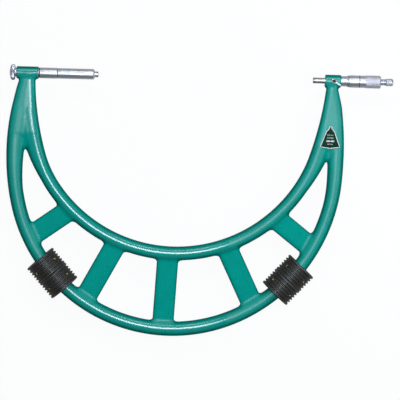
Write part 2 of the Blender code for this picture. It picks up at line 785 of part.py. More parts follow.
def toothed_ring(bm, face, base, inner, outer, toward):
    """A ring with saw teeth on one end: each tooth climbs slowly and drops at once."""
    loops = []
    steps = RATCHET_TEETH * 2
    for radius in (inner, outer):
        crown = []
        foot = []
        for k in range(steps):
            turn = 2 * pi * k / steps
            x = face + toward * TOOTH_DEPTH * (1.0 if k % 2 else 0.0)
            crown.append(bm.verts.new((x, radius * cos(turn), radius * sin(turn))))
            foot.append(bm.verts.new((base, radius * cos(turn), radius * sin(turn))))
        loops.append((crown, foot))
    (crown_in, foot_in), (crown_out, foot_out) = loops
    for k in range(steps):
        n = (k + 1) % steps
        bm.faces.new((crown_in[k], crown_in[n], crown_out[n], crown_out[k]))
        bm.faces.new((foot_in[k], foot_out[k], foot_out[n], foot_in[n]))
        bm.faces.new((crown_out[k], crown_out[n], foot_out[n], foot_out[k]))
        bm.faces.new((crown_in[k], foot_in[k], foot_in[n], crown_in[n]))


def ratchet_disc(start, cavity):
    bm = bmesh.new()
    face = start + TOOTH_DEPTH + CLEARANCE
    toothed_ring(bm, face, face + 1.5 * MM, SPIGOT_DIAMETER / 2 + CLEARANCE,
                 cavity - CLEARANCE, -1)
    new_object("ratchet_disc", mesh_from(bm, "ratchet_disc"), STEEL)
    ratchet_spring(face + 1.5 * MM + CLEARANCE, knob_wall() - CLEARANCE,
                   (cavity + SPIGOT_DIAMETER / 2) / 2)


def ratchet_spring(low, high, radius):
    """A coil of round wire between the disc and the knob's end wall."""
    path = bpy.data.curves.new("ratchet_spring", "CURVE")
    path.dimensions = "3D"
    path.bevel_depth = SPRING_WIRE / 2
    path.bevel_resolution = 1
    path.use_fill_caps = True
    line = path.splines.new("POLY")
    count = int(SPRING_TURNS * 10)
    line.points.add(count)
    first = low + SPRING_WIRE / 2
    rise = high - low - SPRING_WIRE
    for k, point in enumerate(line.points):
        turn = 2 * pi * SPRING_TURNS * k / count
        point.co = (first + rise * k / count, radius * cos(turn), radius * sin(turn), 1)
    new_object("ratchet_spring", path, STEEL)


def ratchet_body():
    """Neck with fine rings, a stem in the spindle's end and the knob's spigot."""
    stem = SPIGOT_DIAMETER / 2
    neck = NECK_DIAMETER / 2
    start = thimble_end() + CLEARANCE
    seat = thimble_end() - THIMBLE_WALL
    end = neck_end()
    rings = []
    count = 3
    pitch = NECK_LENGTH / count
    for k in range(count):
        low = start + pitch * k
        rings += [(low, neck - 0.35 * MM), (low + 0.3 * MM, neck),
                  (low + pitch - 0.3 * MM, neck), (low + pitch, neck - 0.35 * MM)]
    hole = 1.1 * MM + CLEARANCE
    turned("ratchet_body", [
        (seat - 5.5 * MM, 0), (seat - 5.5 * MM, stem), (start, stem)] + rings + [
        (end, stem), (spigot_end(), stem), (spigot_end(), hole),
        (spigot_end() - 2.5 * MM - CLEARANCE, hole), (spigot_end() - 2.5 * MM - CLEARANCE, 0)],
        SATIN_CHROME, SMALL_STEPS)


# Spindle lock

def lock():
    bore = LOCK_SCREW_DIAMETER / 2
    eye = LOCK_EYE_DIAMETER / 2
    low = SEAT_HEIGHT + CLEARANCE
    lever_low = BOSS_DIAMETER / 2 + CLEARANCE
    top = lever_low + LEVER_THICKNESS
    head_seat = lever_low + 0.4 * MM
    head = LOCK_HEAD_DIAMETER / 2
    shoe_low = FACE_DIAMETER / 2 + CLEARANCE
    shoe_top = shoe_low + 1.4 * MM
    lever = new_object("lock_lever", lever_mesh(lever_low, top, low, eye), SATIN_CHROME)
    well = turned_mesh("lock_well", [
        (low - 1 * MM, 0), (low - 1 * MM, bore + CLEARANCE), (head_seat, bore + CLEARANCE),
        (head_seat, head + CLEARANCE / 2), (top + 1 * MM, head + CLEARANCE / 2),
        (top + 1 * MM, 0)], SMALL_STEPS)
    stand_up(well)
    combine(lever, tool_object("lock_well", well), "DIFFERENCE")
    apply_all(lever)
    screw_mesh = turned_mesh("lock_screw", [
        (shoe_top + CLEARANCE, 0), (shoe_top + CLEARANCE, bore),
        (head_seat + CLEARANCE / 2, bore), (head_seat + CLEARANCE / 2, head - CLEARANCE / 2),
        (top - 0.3 * MM, head - CLEARANCE / 2), (top, head - CLEARANCE), (top, 0)], SMALL_STEPS)
    stand_up(screw_mesh)
    screw = new_object("lock_screw", screw_mesh, STEEL)
    key = round_bar("key_hole", (lock_x(), 0, top - 1.4 * MM), (lock_x(), 0, top + 1 * MM),
                    HEX_WIDTH / 2, 6)
    combine(screw, key, "DIFFERENCE")
    apply_all(screw)
    shoe_mesh = turned_mesh("lock_shoe", [
        (shoe_low, 0), (shoe_low, bore - 0.1 * MM), (shoe_top, bore - 0.1 * MM),
        (shoe_top, 0)], SMALL_STEPS)
    stand_up(shoe_mesh)
    new_object("lock_shoe", shoe_mesh, BRASS)


def lever_mesh(low, top, foot, eye):
    """Round eye with a tapered tail, and a hub below it that stands on the boss's seat."""
    bm = bmesh.new()
    tail = 0.9 * MM
    opening = degrees(acos((eye - tail) / (LEVER_REACH - tail)))
    steps = 12
    outline = []
    for k in range(steps + 1):
        turn = opening + (360 - 2 * opening) * k / steps
        outline.append(Vector((cos(radians(turn)), sin(radians(turn)))) * eye)
    for k in range(5):
        turn = -opening + 2 * opening * k / 4
        outline.append(Vector((LEVER_REACH - tail, 0)) + unit(turn) * tail)
    turn = Matrix.Rotation(radians(LEVER_ANGLE), 2)
    verts = [bm.verts.new((*(turn @ p), low)) for p in outline]
    face = bm.faces.new(verts)
    raised = bmesh.ops.extrude_face_region(bm, geom=[face])
    for v in raised["geom"]:
        if isinstance(v, bmesh.types.BMVert):
            reach = hypot(v.co.x, v.co.y)
            drop = 0.5 * MM * max(0.0, reach - eye) / (LEVER_REACH - eye)
            v.co.z = top - drop
    mesh = mesh_from(bm, "lock_lever")
    mesh.transform(Matrix.Translation((lock_x(), 0, 0)))
    lever = tool_object("lever_blank", mesh)
    hub = turned_mesh("lever_hub", [(foot, 0), (foot, eye - 0.4 * MM),
                                    (low + 0.5 * MM, eye - 0.4 * MM), (low + 0.5 * MM, 0)],
                      SMALL_STEPS)
    stand_up(hub)
    combine(lever, tool_object("lever_hub", hub), "UNION")
    apply_all(lever)
    whole = lever.data.copy()
    bpy.data.objects.remove(lever)
    return whole


# Name plate

def plate_centre():
    """Half way across the right arm, above the end window's tip."""
    height = SLOT_TOP["right"] + PLATE_RISE + PLATE_HEIGHT / 2
    outer = at(OUTER, level(OUTER, OUTER_RIB / 2, height, "right"), OUTER_RIB / 2)
    inner = at(INNER, level(INNER, -INNER_RIB / 2, height, "right"), -INNER_RIB / 2)
    return (outer + inner) / 2


def plate_outline():
    """Shield: a tab on top, sloping shoulders, straight splayed sides, a slightly bowed foot."""
    half = PLATE_HEIGHT / 2
    tab = PLATE_TAB_WIDTH / 2
    shoulder = PLATE_SHOULDER_WIDTH / 2
    foot = PLATE_BOTTOM_WIDTH / 2
    right = [(0.0, half), (0.7 * tab, half - 0.5 * MM), (tab, half - 2.8 * MM),
             (shoulder, half - 6.6 * MM), (0.98 * foot, -half + 4.6 * MM),
             (foot, -half + 1.9 * MM), (0.38 * foot, -half + 0.9 * MM), (0.0, -half)]
    left = [(-x, y) for x, y in right[-2:0:-1]]
    return [Vector(p) + plate_centre() for p in right + left]


def plate_pins():
    half = PLATE_HEIGHT / 2
    foot = PLATE_BOTTOM_WIDTH / 2
    low = -half + PIN_INSET + 1.2 * MM
    spots = ((0.0, half - PIN_INSET), (PIN_INSET - foot, low), (foot - PIN_INSET, low))
    return [Vector(spot) + plate_centre() for spot in spots]


def plate_level():
    return (INNER_RIB + OUTER_RIB) / 4 + CLEARANCE


def name_plate():
    bm = bmesh.new()
    low = plate_level()
    face = bm.faces.new([bm.verts.new((p.x, p.y, low)) for p in plate_outline()])
    raised = bmesh.ops.extrude_face_region(bm, geom=[face])
    for v in raised["geom"]:
        if isinstance(v, bmesh.types.BMVert):
            v.co.z += PLATE_THICKNESS
    plate = new_object("name_plate", mesh_from(bm, "name_plate"), PLATE_GREEN)
    bore = PIN_DIAMETER / 2
    for index, spot in enumerate(plate_pins(), 1):
        name = "plate_pin_%d" % index
        hole = round_bar("pin_hole_%d" % index, (spot.x, spot.y, low - 1 * MM),
                         (spot.x, spot.y, low + PLATE_THICKNESS + 1 * MM), bore * 0.6 + 0.1 * MM, 8)
        combine(plate, hole, "DIFFERENCE")
        top = low + PLATE_THICKNESS + CLEARANCE / 3
        profile = [(low + 0.1 * MM, 0), (low + 0.1 * MM, bore * 0.6), (top, bore * 0.6),
                   (top, bore), (top + 0.3 * MM, bore * 0.8), (top + 0.5 * MM, 0)]
        mesh = turned_mesh(name, profile, HOLE_STEPS)
        mesh.transform(Matrix.Translation((spot.x, spot.y, 0)) @ Matrix.Rotation(-pi / 2, 4, "Y"))
        new_object(name, mesh, STEEL)
    apply_all(plate)


# Grips

def collar_length():
    return (GRIP_LENGTH - SEAM) / 2


def fin_profile():
    """One collar's outline along its axis, from end to end: crests and roots."""
    pitch = collar_length() / FINS
    crest = GRIP_DIAMETER / 2
    root = crest - FIN_DEPTH
    slope = (1 - FIN_CREST - FIN_ROOT) / 2
    points = []
    for k in range(FINS):
        low = -collar_length() / 2 + pitch * k
        points += [(low + pitch * FIN_ROOT / 2, root),
                   (low + pitch * (FIN_ROOT / 2 + slope), crest),
                   (low + pitch * (FIN_ROOT / 2 + slope + FIN_CREST), crest),
                   (low + pitch * (1 - FIN_ROOT / 2), root)]
    points[0] = (-collar_length() / 2, root)
    points[-1] = (collar_length() / 2, root)
    return points


def screw_offset():
    """Distance of the clamp screws from the rib's centre line."""
    bore = OUTER_RIB / 2 + CLEARANCE
    return bore + (GRIP_DIAMETER / 2 - FIN_DEPTH - bore) * SCREW_PLACE


def rib_cutter(name, angle):
    """The outer rib's own round shape, wider by the clearance, around a grip."""
    bm = bmesh.new()
    radius = OUTER_RIB / 2 + CLEARANCE
    sides = 2 * RIB_SIDES
    reach = degrees(GRIP_LENGTH * 0.6 / OUTER_ARC[2] / UNIT)
    steps = 6
    rings = []
    for k in range(steps + 1):
        turn = angle - reach + 2 * reach * k / steps
        ring = []
        for j in range(sides):
            theta = 2 * pi * j / sides
            spot = at(OUTER, turn, -cos(theta) * radius)
            ring.append(bm.verts.new((spot.x, spot.y, sin(theta) * radius)))
        rings.append(ring)
    for low, high in zip(rings, rings[1:]):
        for j in range(sides):
            n = (j + 1) % sides
            bm.faces.new((low[j], low[n], high[n], high[j]))
    bm.faces.new(rings[0])
    bm.faces.new(rings[-1])
    return tool_object(name, mesh_from(bm, name))


def grips():
    for side, angle in (("left", LEFT_GRIP_TURN), ("right", RIGHT_GRIP_TURN)):
        centre = at(OUTER, angle)
        along = Vector((-unit(angle).y, unit(angle).x))
        frame_turn = Matrix.Rotation(atan2(along.y, along.x), 4, "Z")
        for index, sign in enumerate((-1, 1), 1):
            middle = centre + along * sign * (collar_length() + SEAM) / 2
            place = Matrix.Translation((middle.x, middle.y, 0)) @ frame_turn
            for face, flip in (("front", 0.0), ("back", pi)):
                name = "%s_grip_%s_%d" % (side, face, index)
                profile = [(-collar_length() / 2, 0.0)] + fin_profile()
                profile += [(collar_length() / 2, 0.0)]
                mesh = turned_mesh(name, profile, GRIP_STEPS, pi)
                lift = CLEARANCE / 2
                mesh.transform(Matrix.Rotation(flip, 4, "X") @ Matrix.Translation((0, 0, lift)))
                mesh.transform(place)
                shell = new_object(name, mesh, BAKELITE)
                combine(shell, rib_cutter(name + "_bore", angle), "DIFFERENCE")
                for hole, edge in (("in", 1), ("out", -1)):
                    spot = place @ Vector((0, edge * screw_offset(), 0))
                    cut_screw_hole(shell, name + "_" + hole, spot, 1 if face == "front" else -1)
                apply_all(shell)
            for number, edge in enumerate((1, -1), 1):
                spot = place @ Vector((0, edge * screw_offset(), 0))
                clamp_screw("%s_grip_screw_%d_%d" % (side, index, number), spot)
                clamp_nut("%s_grip_nut_%d_%d" % (side, index, number), spot)


def cut_screw_hole(shell, name, spot, sign):
    """A stepped hole: narrow through the parting plane, wide for the head or the nut."""
    narrow = SCREW_SHANK / 2 + CLEARANCE
    width = SCREW_HEAD if sign > 0 else NUT_WIDTH
    wide = width / 2 + CLEARANCE
    top = GRIP_DIAMETER / 2
    profile = [(-1 * MM, 0), (-1 * MM, narrow), (SCREW_SEAT, narrow), (SCREW_SEAT, wide),
               (top, wide), (top, 0)]
    mesh = turned_mesh(name, profile, HOLE_STEPS)
    mesh.transform(Matrix.Translation((spot.x, spot.y, 0)) @ Matrix.Rotation(-sign * pi / 2, 4, "Y"))
    combine(shell, tool_object(name, mesh), "DIFFERENCE")


def clamp_screw(name, spot):
    shank = SCREW_SHANK / 2
    head = SCREW_HEAD / 2
    seat = SCREW_SEAT + CLEARANCE
    low = -SCREW_SEAT - CLEARANCE - NUT_HEIGHT - 0.5 * MM
    profile = [(low, 0), (low, shank), (seat, shank), (seat, head),
               (seat + SCREW_HEAD_HEIGHT * 0.6, head),
               (seat + SCREW_HEAD_HEIGHT, head * 0.5), (seat + SCREW_HEAD_HEIGHT, 0)]
    mesh = turned_mesh(name, profile, HOLE_STEPS)
    mesh.transform(Matrix.Translation((spot.x, spot.y, 0)) @ Matrix.Rotation(-pi / 2, 4, "Y"))
    new_object(name, mesh, BRASS)


def clamp_nut(name, spot):
    bore = SCREW_SHANK / 2 + CLEARANCE
    high = -SCREW_SEAT - CLEARANCE
    low = high - NUT_HEIGHT
    profile = [(low, bore), (low, NUT_WIDTH / 2), (high, NUT_WIDTH / 2), (high, bore)]
    mesh = turned_mesh(name, profile, 6)
    mesh.transform(Matrix.Translation((spot.x, spot.y, 0)) @ Matrix.Rotation(-pi / 2, 4, "Y"))
    new_object(name, mesh, BRASS)


clear_scene()
frame()
anvil()
head()
ratchet()
lock()
name_plate()
grips()
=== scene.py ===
from math import cos, pi, radians, sin

import bmesh
import bpy
import numpy as np
from mathutils import Matrix, Vector


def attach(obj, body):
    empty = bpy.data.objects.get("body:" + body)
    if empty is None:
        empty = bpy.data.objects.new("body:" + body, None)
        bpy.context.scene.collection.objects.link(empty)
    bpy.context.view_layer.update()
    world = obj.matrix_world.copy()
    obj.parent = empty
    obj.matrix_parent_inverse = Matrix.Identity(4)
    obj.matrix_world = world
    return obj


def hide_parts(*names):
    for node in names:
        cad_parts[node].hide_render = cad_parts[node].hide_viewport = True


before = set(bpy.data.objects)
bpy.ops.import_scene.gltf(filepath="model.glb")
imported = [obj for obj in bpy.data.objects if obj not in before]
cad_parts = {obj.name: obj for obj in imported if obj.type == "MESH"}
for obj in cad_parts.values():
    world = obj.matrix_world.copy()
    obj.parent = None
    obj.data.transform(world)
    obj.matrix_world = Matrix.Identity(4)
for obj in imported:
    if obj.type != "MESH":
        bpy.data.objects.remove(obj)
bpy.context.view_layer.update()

# An outside micrometer on its back: the measuring line is the X axis, the bow hangs towards -Y
# and the front looks up. Lengths are in millimetres until a mesh is made.
mm = 0.001
gap = 0.3  # between neighbouring pieces
print("frame loaded:", len(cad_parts), "nodes")


# tools for meshes

def newObject(name, data):
    made = bpy.data.objects.new(name, data)
    bpy.context.scene.collection.objects.link(made)
    return made


def gridQuads(rows, columns, ringRows=False, ringColumns=True):
    # quads between neighbouring points of a grid; a ring closes on itself
    row = np.arange(rows if ringRows else rows - 1)
    column = np.arange(columns if ringColumns else columns - 1)
    row, column = np.meshgrid(row, column, indexing="ij")
    nextRow, nextColumn = (row + 1) % rows, (column + 1) % columns
    quads = [row * columns + column, nextRow * columns + column,
             nextRow * columns + nextColumn, row * columns + nextColumn]
    return np.stack(quads, axis=-1).reshape(-1, 4)


def meshFromArrays(name, points, quads, caps=()):
    # points in millimetres; a cap is a ring of point numbers that closes an end
    mesh = bpy.data.meshes.new(name)
    faces = np.asarray(quads).tolist() + [list(map(int, ring)) for ring in caps]
    mesh.from_pydata((np.asarray(points) * mm).tolist(), [], faces)
    mesh.update()
    return mesh


def vectorsOf(items, attribute):
    # of a mesh's vertices or faces, in millimetres
    values = np.empty(len(items) * 3)
    items.foreach_get(attribute, values)
    return values.reshape(-1, 3) / mm


def cleaned(mesh, weld=0.002):
    # closes seams and poles, then points the faces outwards
    work = bmesh.new()
    work.from_mesh(mesh)
    bmesh.ops.remove_doubles(work, verts=work.verts, dist=weld * mm)
    bmesh.ops.dissolve_degenerate(work, edges=work.edges, dist=weld * mm * 0.5)
    bmesh.ops.recalc_face_normals(work, faces=work.faces)
    work.to_mesh(mesh)
    work.free()
    return mesh


def ringsAbout(x, y, angle, pairs):
    # rings round an upright axis, from pairs of radius and height
    return [(x + r * np.cos(angle), y + r * np.sin(angle), height) for r, height in pairs]


def ringedMesh(name, rings, closed=False):
    # each ring of x, y and z is joined to the next; the last meets the first, or caps close both ends
    points = np.array([np.stack(np.broadcast_arrays(*ring), axis=-1) for ring in rings])
    rows, count = points.shape[:2]
    caps = () if closed else (np.arange(count)[::-1], np.arange(count) + count * (rows - 1))
    return cleaned(meshFromArrays(name, points.reshape(-1, 3), gridQuads(rows, count, closed), caps))


def addPiece(name, mesh, finish, body="frame_body", cadNode=None, sharp=40):
    mesh.materials.clear()
    mesh.materials.append(finishes[finish])
    mesh.shade_smooth()
    mesh.set_sharp_from_angle(angle=radians(sharp))
    piece = newObject(name, mesh)
    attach(piece, body)
    if cadNode:
        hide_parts(cadNode)


def softLine(points, radius, steps=4):
    # every corner of a closed line gives way to a curve that is tangent to both sides
    points = np.asarray(points, float)
    into = points - np.roll(points, 1, axis=0)
    out = np.roll(points, -1, axis=0) - points
    lengthIn, lengthOut = (np.maximum(np.hypot(*side.T), 1e-9) for side in (into, out))
    into, out = into / lengthIn[:, None], out / lengthOut[:, None]
    turn = np.arccos(np.clip((into * out).sum(axis=1), -1, 1))
    reach = radius * np.tan(np.minimum(turn, 3.0) / 2)
    reach = np.minimum(reach, 0.46 * np.minimum(lengthIn, lengthOut))[:, None]
    t = np.linspace(0, 1, steps + 1)[None, :, None]
    first, last = (points - into * reach)[:, None], (points + out * reach)[:, None]
    line = (1 - t) ** 2 * first + 2 * t * (1 - t) * points[:, None] + t ** 2 * last
    return line.reshape(-1, 2)


def withSteps(line, low, high, step):
    # adds points to a closed (x, r) line where it runs between two X values on its outside
    result = []
    for start, end in zip(line, np.roll(line, -1, axis=0)):
        result.append(start[None])
        length = abs(end[0] - start[0])
        inside = min(start[0], end[0]) < high and max(start[0], end[0]) > low
        if inside and length > step * 1.5 and start[1] > 0.9 * line[:, 1].max():
            share = np.linspace(0, 1, int(length / step) + 1)[1:-1, None]
            result.append(start + (end - start) * share)
    return np.concatenate(result)


def turnedPoints(line, angle, relief=None):
    # an (x, r) line turned about the measuring line: x, r cos a, r sin a, less a relief of x, a and r
    x, r = line[:, :1] + 0 * angle, line[:, 1:] + 0 * angle
    if relief:
        r = r - relief(x, angle, r)
    return np.stack([x, r * np.cos(angle), r * np.sin(angle)], axis=-1).reshape(-1, 3)


def turnedMesh(name, profile, soften=0.15, sides=96, relief=None, fine=None):
    # a closed line turned once round, with soft corners off the axis
    profile = np.asarray(profile, float)
    line = softLine(profile, np.where(profile[:, 1] < 1e-6, 0.0, soften))
    if fine:
        line = withSteps(line, *fine)
    points = turnedPoints(line, np.linspace(0, 2 * pi, sides, endpoint=False), relief)
    return cleaned(meshFromArrays(name, points, gridQuads(len(line), sides, True)))


def turnedPiece(name, profile, soften, finish, body="frame_body", cadNode=None, sides=96):
    addPiece(name, turnedMesh(name, profile, soften, sides), finish, body, cadNode)


def upright(mesh, x, y, sign=1):
    # a piece that was turned about X is stood up, or hung down, with its axis along Z
    turn = Matrix.Rotation(-sign * pi / 2, 4, "Y")
    mesh.transform(Matrix.Translation((x * mm, y * mm, 0)) @ turn)
    return mesh


def meshOf(made):
    # what an object's modifiers or letters make; the object goes
    graph = bpy.context.evaluated_depsgraph_get()
    mesh = bpy.data.meshes.new_from_object(made.evaluated_get(graph))
    bpy.data.objects.remove(made)
    return mesh


def cutAway(piece, tools):
    # the mesh that is left of a piece when the tools are taken out of it
    for tool in tools:
        cut = piece.modifiers.new(tool.name, "BOOLEAN")
        cut.object, cut.operation, cut.solver = tool, "DIFFERENCE", "EXACT"
    mesh = meshOf(piece)
    for tool in tools:
        bpy.data.objects.remove(tool)
    return mesh


def lettering(name, words, size, depth, place, weight=0.0):
    # plain words as a thin solid; place carries its points, in millimetres, to the part
    curve = bpy.data.curves.new(name, "FONT")
    curve.body = words
    curve.size = size * mm
    curve.extrude = depth * mm / 2
    curve.align_x, curve.align_y = "CENTER", "CENTER"
    curve.offset = weight * mm
    curve.resolution_u = 3
    mesh = meshOf(newObject(name, curve))
    mesh.vertices.foreach_set("co", (place(vectorsOf(mesh.vertices, "co")) * mm).ravel())
    mesh.update()
    return cleaned(mesh, 0.0005)


def joined(meshes, name):
    work = bmesh.new()
    for mesh in meshes:
        work.from_mesh(mesh)
    whole = bpy.data.meshes.new(name)
    work.to_mesh(whole)
    work.free()
    return whole


def smoothStep(share):
    share = np.clip(share, 0, 1)
    return share * share * (3 - 2 * share)


def triangleWave(value):
    # 0 at whole numbers, 1 half way between them
    return 1 - np.abs((value % 1.0) * 2 - 1)


def hexagon(width, angle):
    # six flats: r = flat / cos(angle from the middle of the flat)
    return width / 2 * cos(pi / 6) / np.cos((angle + pi / 6) % (pi / 3) - pi / 6)


# tools for materials

def feed(tree, sockets, values):
    # a socket takes a plain value, or what another socket puts out
    for key, value in values.items():
        if isinstance(value, bpy.types.NodeSocket):
            tree.links.new(value, sockets[key])
        else:
            sockets[key].default_value = value


def node(tree, kind, values=None, **settings):
    made = tree.nodes.new("ShaderNode" + kind)
    for key, value in settings.items():
        setattr(made, key, value)
    feed(tree, made.inputs, values or {})
    return made.outputs


def worked(tree, operation, first, second):
    return node(tree, "Math", {0: first, 1: second}, operation=operation)[0]


def mixed(tree, share, first, second, blend="MIX"):
    return node(tree, "Mix", {0: share, 6: first, 7: second}, data_type="RGBA", blend_type=blend)[2]


def mapped(tree, source, low, high, toLow, toHigh):
    # the first five inputs are the value, where it runs from and to, and where it goes
    return node(tree, "MapRange", dict(enumerate((source, low, high, toLow, toHigh))))[0]


def shaderGroup(name, inputs, outputs):
    # an input's usual value tells its kind: a colour or a number; each group also takes the place
    group = bpy.data.node_groups.new(name, "ShaderNodeTree")
    group.interface.new_socket("place", in_out="INPUT", socket_type="NodeSocketVector")
    for label, value in inputs.items():
        kind = "NodeSocketColor" if isinstance(value, tuple) else "NodeSocketFloat"
        group.interface.new_socket(label, in_out="INPUT", socket_type=kind).default_value = value
    for label in outputs:
        kind = "NodeSocketColor" if label == "color" else "NodeSocketFloat"
        group.interface.new_socket(label, in_out="OUTPUT", socket_type=kind)
    given = group.nodes.new("NodeGroupInput").outputs
    return group, given, group.nodes.new("NodeGroupOutput").inputs


def mottleGroup():
    # two tones mixed by a coarse and a fine cloud, and the fine cloud as a height
    tree, given, result = shaderGroup("mottle", {
        "tone": (0.5, 0.5, 0.5, 1), "otherTone": (0.4, 0.4, 0.4, 1), "coarse": 60.0, "fine": 500.0,
        "share": 0.5}, ("color", "height", "cloud"))
    coarse, fine = (
        node(tree, "TexNoise", {"Vector": given["place"], "Scale": given[scale], "Detail": detail,
                                "Roughness": roughness})["Fac"]
        for scale, detail, roughness in (("coarse", 3.0, 0.5), ("fine", 2.0, 0.45)))
    level = mapped(tree, worked(tree, "ADD", coarse, fine), 0.75, 1.25, 0.0, 1.0)
    share = worked(tree, "MULTIPLY", level, given["share"])
    color = mixed(tree, share, given["tone"], given["otherTone"])
    feed(tree, result, {"color": color, "height": fine, "cloud": coarse})
    return tree


def machinedGroup():
    # fine rings round the measuring line and a little unevenness, for turned and ground metal
    tree, given, result = shaderGroup("machined", {
        "tone": (0.6, 0.6, 0.6, 1), "stain": (0.5, 0.5, 0.5, 1), "rings": 2500.0, "low": 0.25,
        "high": 0.4}, ("color", "roughness", "height"))
    along = worked(tree, "MULTIPLY", node(tree, "SeparateXYZ", {0: given["place"]})["X"], given["rings"])
    ring = node(tree, "TexNoise", {"W": along, "Scale": 1.0, "Detail": 2.0}, noise_dimensions="1D")["Fac"]
    cloud = node(tree, "TexNoise", {"Vector": given["place"], "Scale": 90.0, "Detail": 4.0})["Fac"]
    color = mixed(tree, mapped(tree, cloud, 0.45, 0.75, 0.0, 1.0), given["tone"], given["stain"])
    rough = mapped(tree, ring, 0.3, 0.7, given["low"], given["high"])
    feed(tree, result, {"color": color, "roughness": rough, "height": ring})
    return tree


groups = {"mottle": mottleGroup(), "machined": machinedGroup()}


def newMaterial(name, group, look):
    # a material with one of the groups in it, which has the look's own values
    material = bpy.data.materials.new(name)
    material.use_nodes = True
    tree = material.node_tree
    finish = tree.nodes.new("ShaderNodeGroup")
    finish.node_tree = groups[group]
    place = node(tree, "TexCoord")["Object"]
    values = {socket.name: look.get(socket.name, place) for socket in finish.inputs}
    feed(tree, finish.inputs, values)
    bump = node(tree, "Bump", {"Strength": look["bump"], "Distance": look["depth"] * mm,
                "Height": finish.outputs["height"]})
    shader = tree.nodes["Principled BSDF"].inputs
    feed(tree, shader, {"Base Color": finish.outputs["color"], "Normal": bump["Normal"]})
    return material, tree, shader, finish.outputs


def paintMaterial(name, look):
    material, tree, shader, finish = newMaterial(name, "mottle", look)
    feed(tree, shader, {
        "Roughness": mapped(tree, finish["cloud"], 0.3, 0.7, look["low"], look["high"]),
        "Specular IOR Level": look["specular"], "Coat Weight": look.get("coat", 0.0),
        "Coat Roughness": look.get("coatRoughness", 0.2), "Coat IOR": look.get("coatIor", 1.5)})
    if "glancing" in look:
        # painted shade: the paint's colour is darkened where it is seen at a grazing angle, and its
        # varnish is faded there; the mesh says where the varnish is duller
        facing = node(tree, "LayerWeight", {"Blend": 0.5})["Facing"]
        matte = node(tree, "Attribute", attribute_name="matte")["Fac"]
        shade, coat = mapped(tree, facing, *look["glancing"]), mapped(tree, facing, *look["coatFade"])
        feed(tree, shader, {
            "Base Color": mixed(tree, 1.0, finish["color"], shade, "MULTIPLY"),
            "Coat Weight": worked(tree, "MULTIPLY", coat, mapped(tree, matte, *look["shine"]))})
    return material


def metalMaterial(name, look):
    material, tree, shader, finish = newMaterial(name, "machined", look)
    feed(tree, shader, {"Metallic": 1.0, "Roughness": finish["roughness"]})
    return material


def rows(keys, table):
    return {name: dict(zip(keys.split(), values)) for name, *values in table}


# the slot is the record's own; coarse, fine and rings are counts to a metre, low and high the
# least and the most roughness, and depth the bumps' height
paints = rows("slot tone otherTone coarse fine share low high specular bump depth", [
    ("enamel", "enamel", (0.0, 0.293, 0.23, 1), (0.0, 0.34, 0.272, 1),
     55.0, 420.0, 0.9, 0.34, 0.42, 0.0, 0.2, 0.3),
    ("bakelite", "bakelite", (0.020, 0.018, 0.014, 1), (0.036, 0.033, 0.027, 1),
     90.0, 700.0, 0.5, 0.42, 0.5, 0.7, 0.06, 0.1),
    ("plateField", "plate_green", (0.004, 0.035, 0.018, 1), (0.01, 0.055, 0.03, 1),
     150.0, 900.0, 0.7, 0.45, 0.55, 0.05, 0.1, 0.05),
    ("plateWhite", "plate_green", (0.80, 0.80, 0.78, 1), (0.70, 0.71, 0.70, 1),
     150.0, 900.0, 0.5, 0.3, 0.45, 0.5, 0.05, 0.05),
    ("pinBrown", "pin_steel", (0.05, 0.028, 0.024, 1), (0.09, 0.05, 0.04, 1),
     300.0, 2000.0, 0.6, 0.4, 0.5, 0.3, 0.1, 0.05),
    ("markBlack", "steel", (0.012, 0.012, 0.014, 1), (0.03, 0.03, 0.032, 1),
     200.0, 2000.0, 0.6, 0.45, 0.6, 0.5, 0.05, 0.02),
])
metals = rows("slot tone stain rings low high bump depth", [
    ("satinChrome", "satin_chrome", (0.64, 0.64, 0.68, 1), (0.56, 0.56, 0.61, 1),
     2200.0, 0.38, 0.46, 0.06, 0.05),
    ("groundSteel", "steel", (0.45, 0.44, 0.43, 1), (0.38, 0.37, 0.36, 1),
     3000.0, 0.34, 0.42, 0.05, 0.04),
    ("knurledChrome", "satin_chrome", (0.68, 0.68, 0.73, 1), (0.60, 0.60, 0.65, 1),
     2200.0, 0.5, 0.58, 0.06, 0.05),
    # painted shade: chrome toned nearly black, for rings that stand in for shaded grooves
    ("grooveShadeChrome", "satin_chrome", (0.045, 0.045, 0.05, 1), (0.025, 0.025, 0.028, 1),
     3000.0, 0.4, 0.5, 0.08, 0.05),
    ("carbide", "carbide", (0.36, 0.33, 0.30, 1), (0.26, 0.24, 0.22, 1),
     4000.0, 0.22, 0.32, 0.04, 0.03),
    # brass toned darker than bare brass, as painted shade for the screw heads deep in their holes
    ("brass", "brass", (0.26, 0.19, 0.08, 1), (0.16, 0.11, 0.05, 1),
     3000.0, 0.5, 0.6, 0.08, 0.05),
])
# the varnish; on the enamel, how its colour is darkened as painted shade and its coat fades from one
# angle to another, and its shine between two levels of matte
paints["plateWhite"]["coat"] = 0.2
paints["enamel"].update(coatIor=1.6, coatRoughness=0.25, glancing=(0.10, 0.36, 1.0, 0.60),
                        coatFade=(0.04, 0.36, 1.0, 0.0), shine=(0.0, 0.25, 1.0, 0.36))
# the same paint where its varnish is duller, as on the arms
paints["enamelDull"] = dict(paints["enamel"], coatRoughness=0.42, shine=(0.25, 1.0, 0.95, 0.02))
finishes = {name: paintMaterial(name, look) for name, look in paints.items()}
finishes.update({name: metalMaterial(name, look) for name, look in metals.items()})
print("materials made:", len(finishes))


# the casting; pairs are for the left and the right side

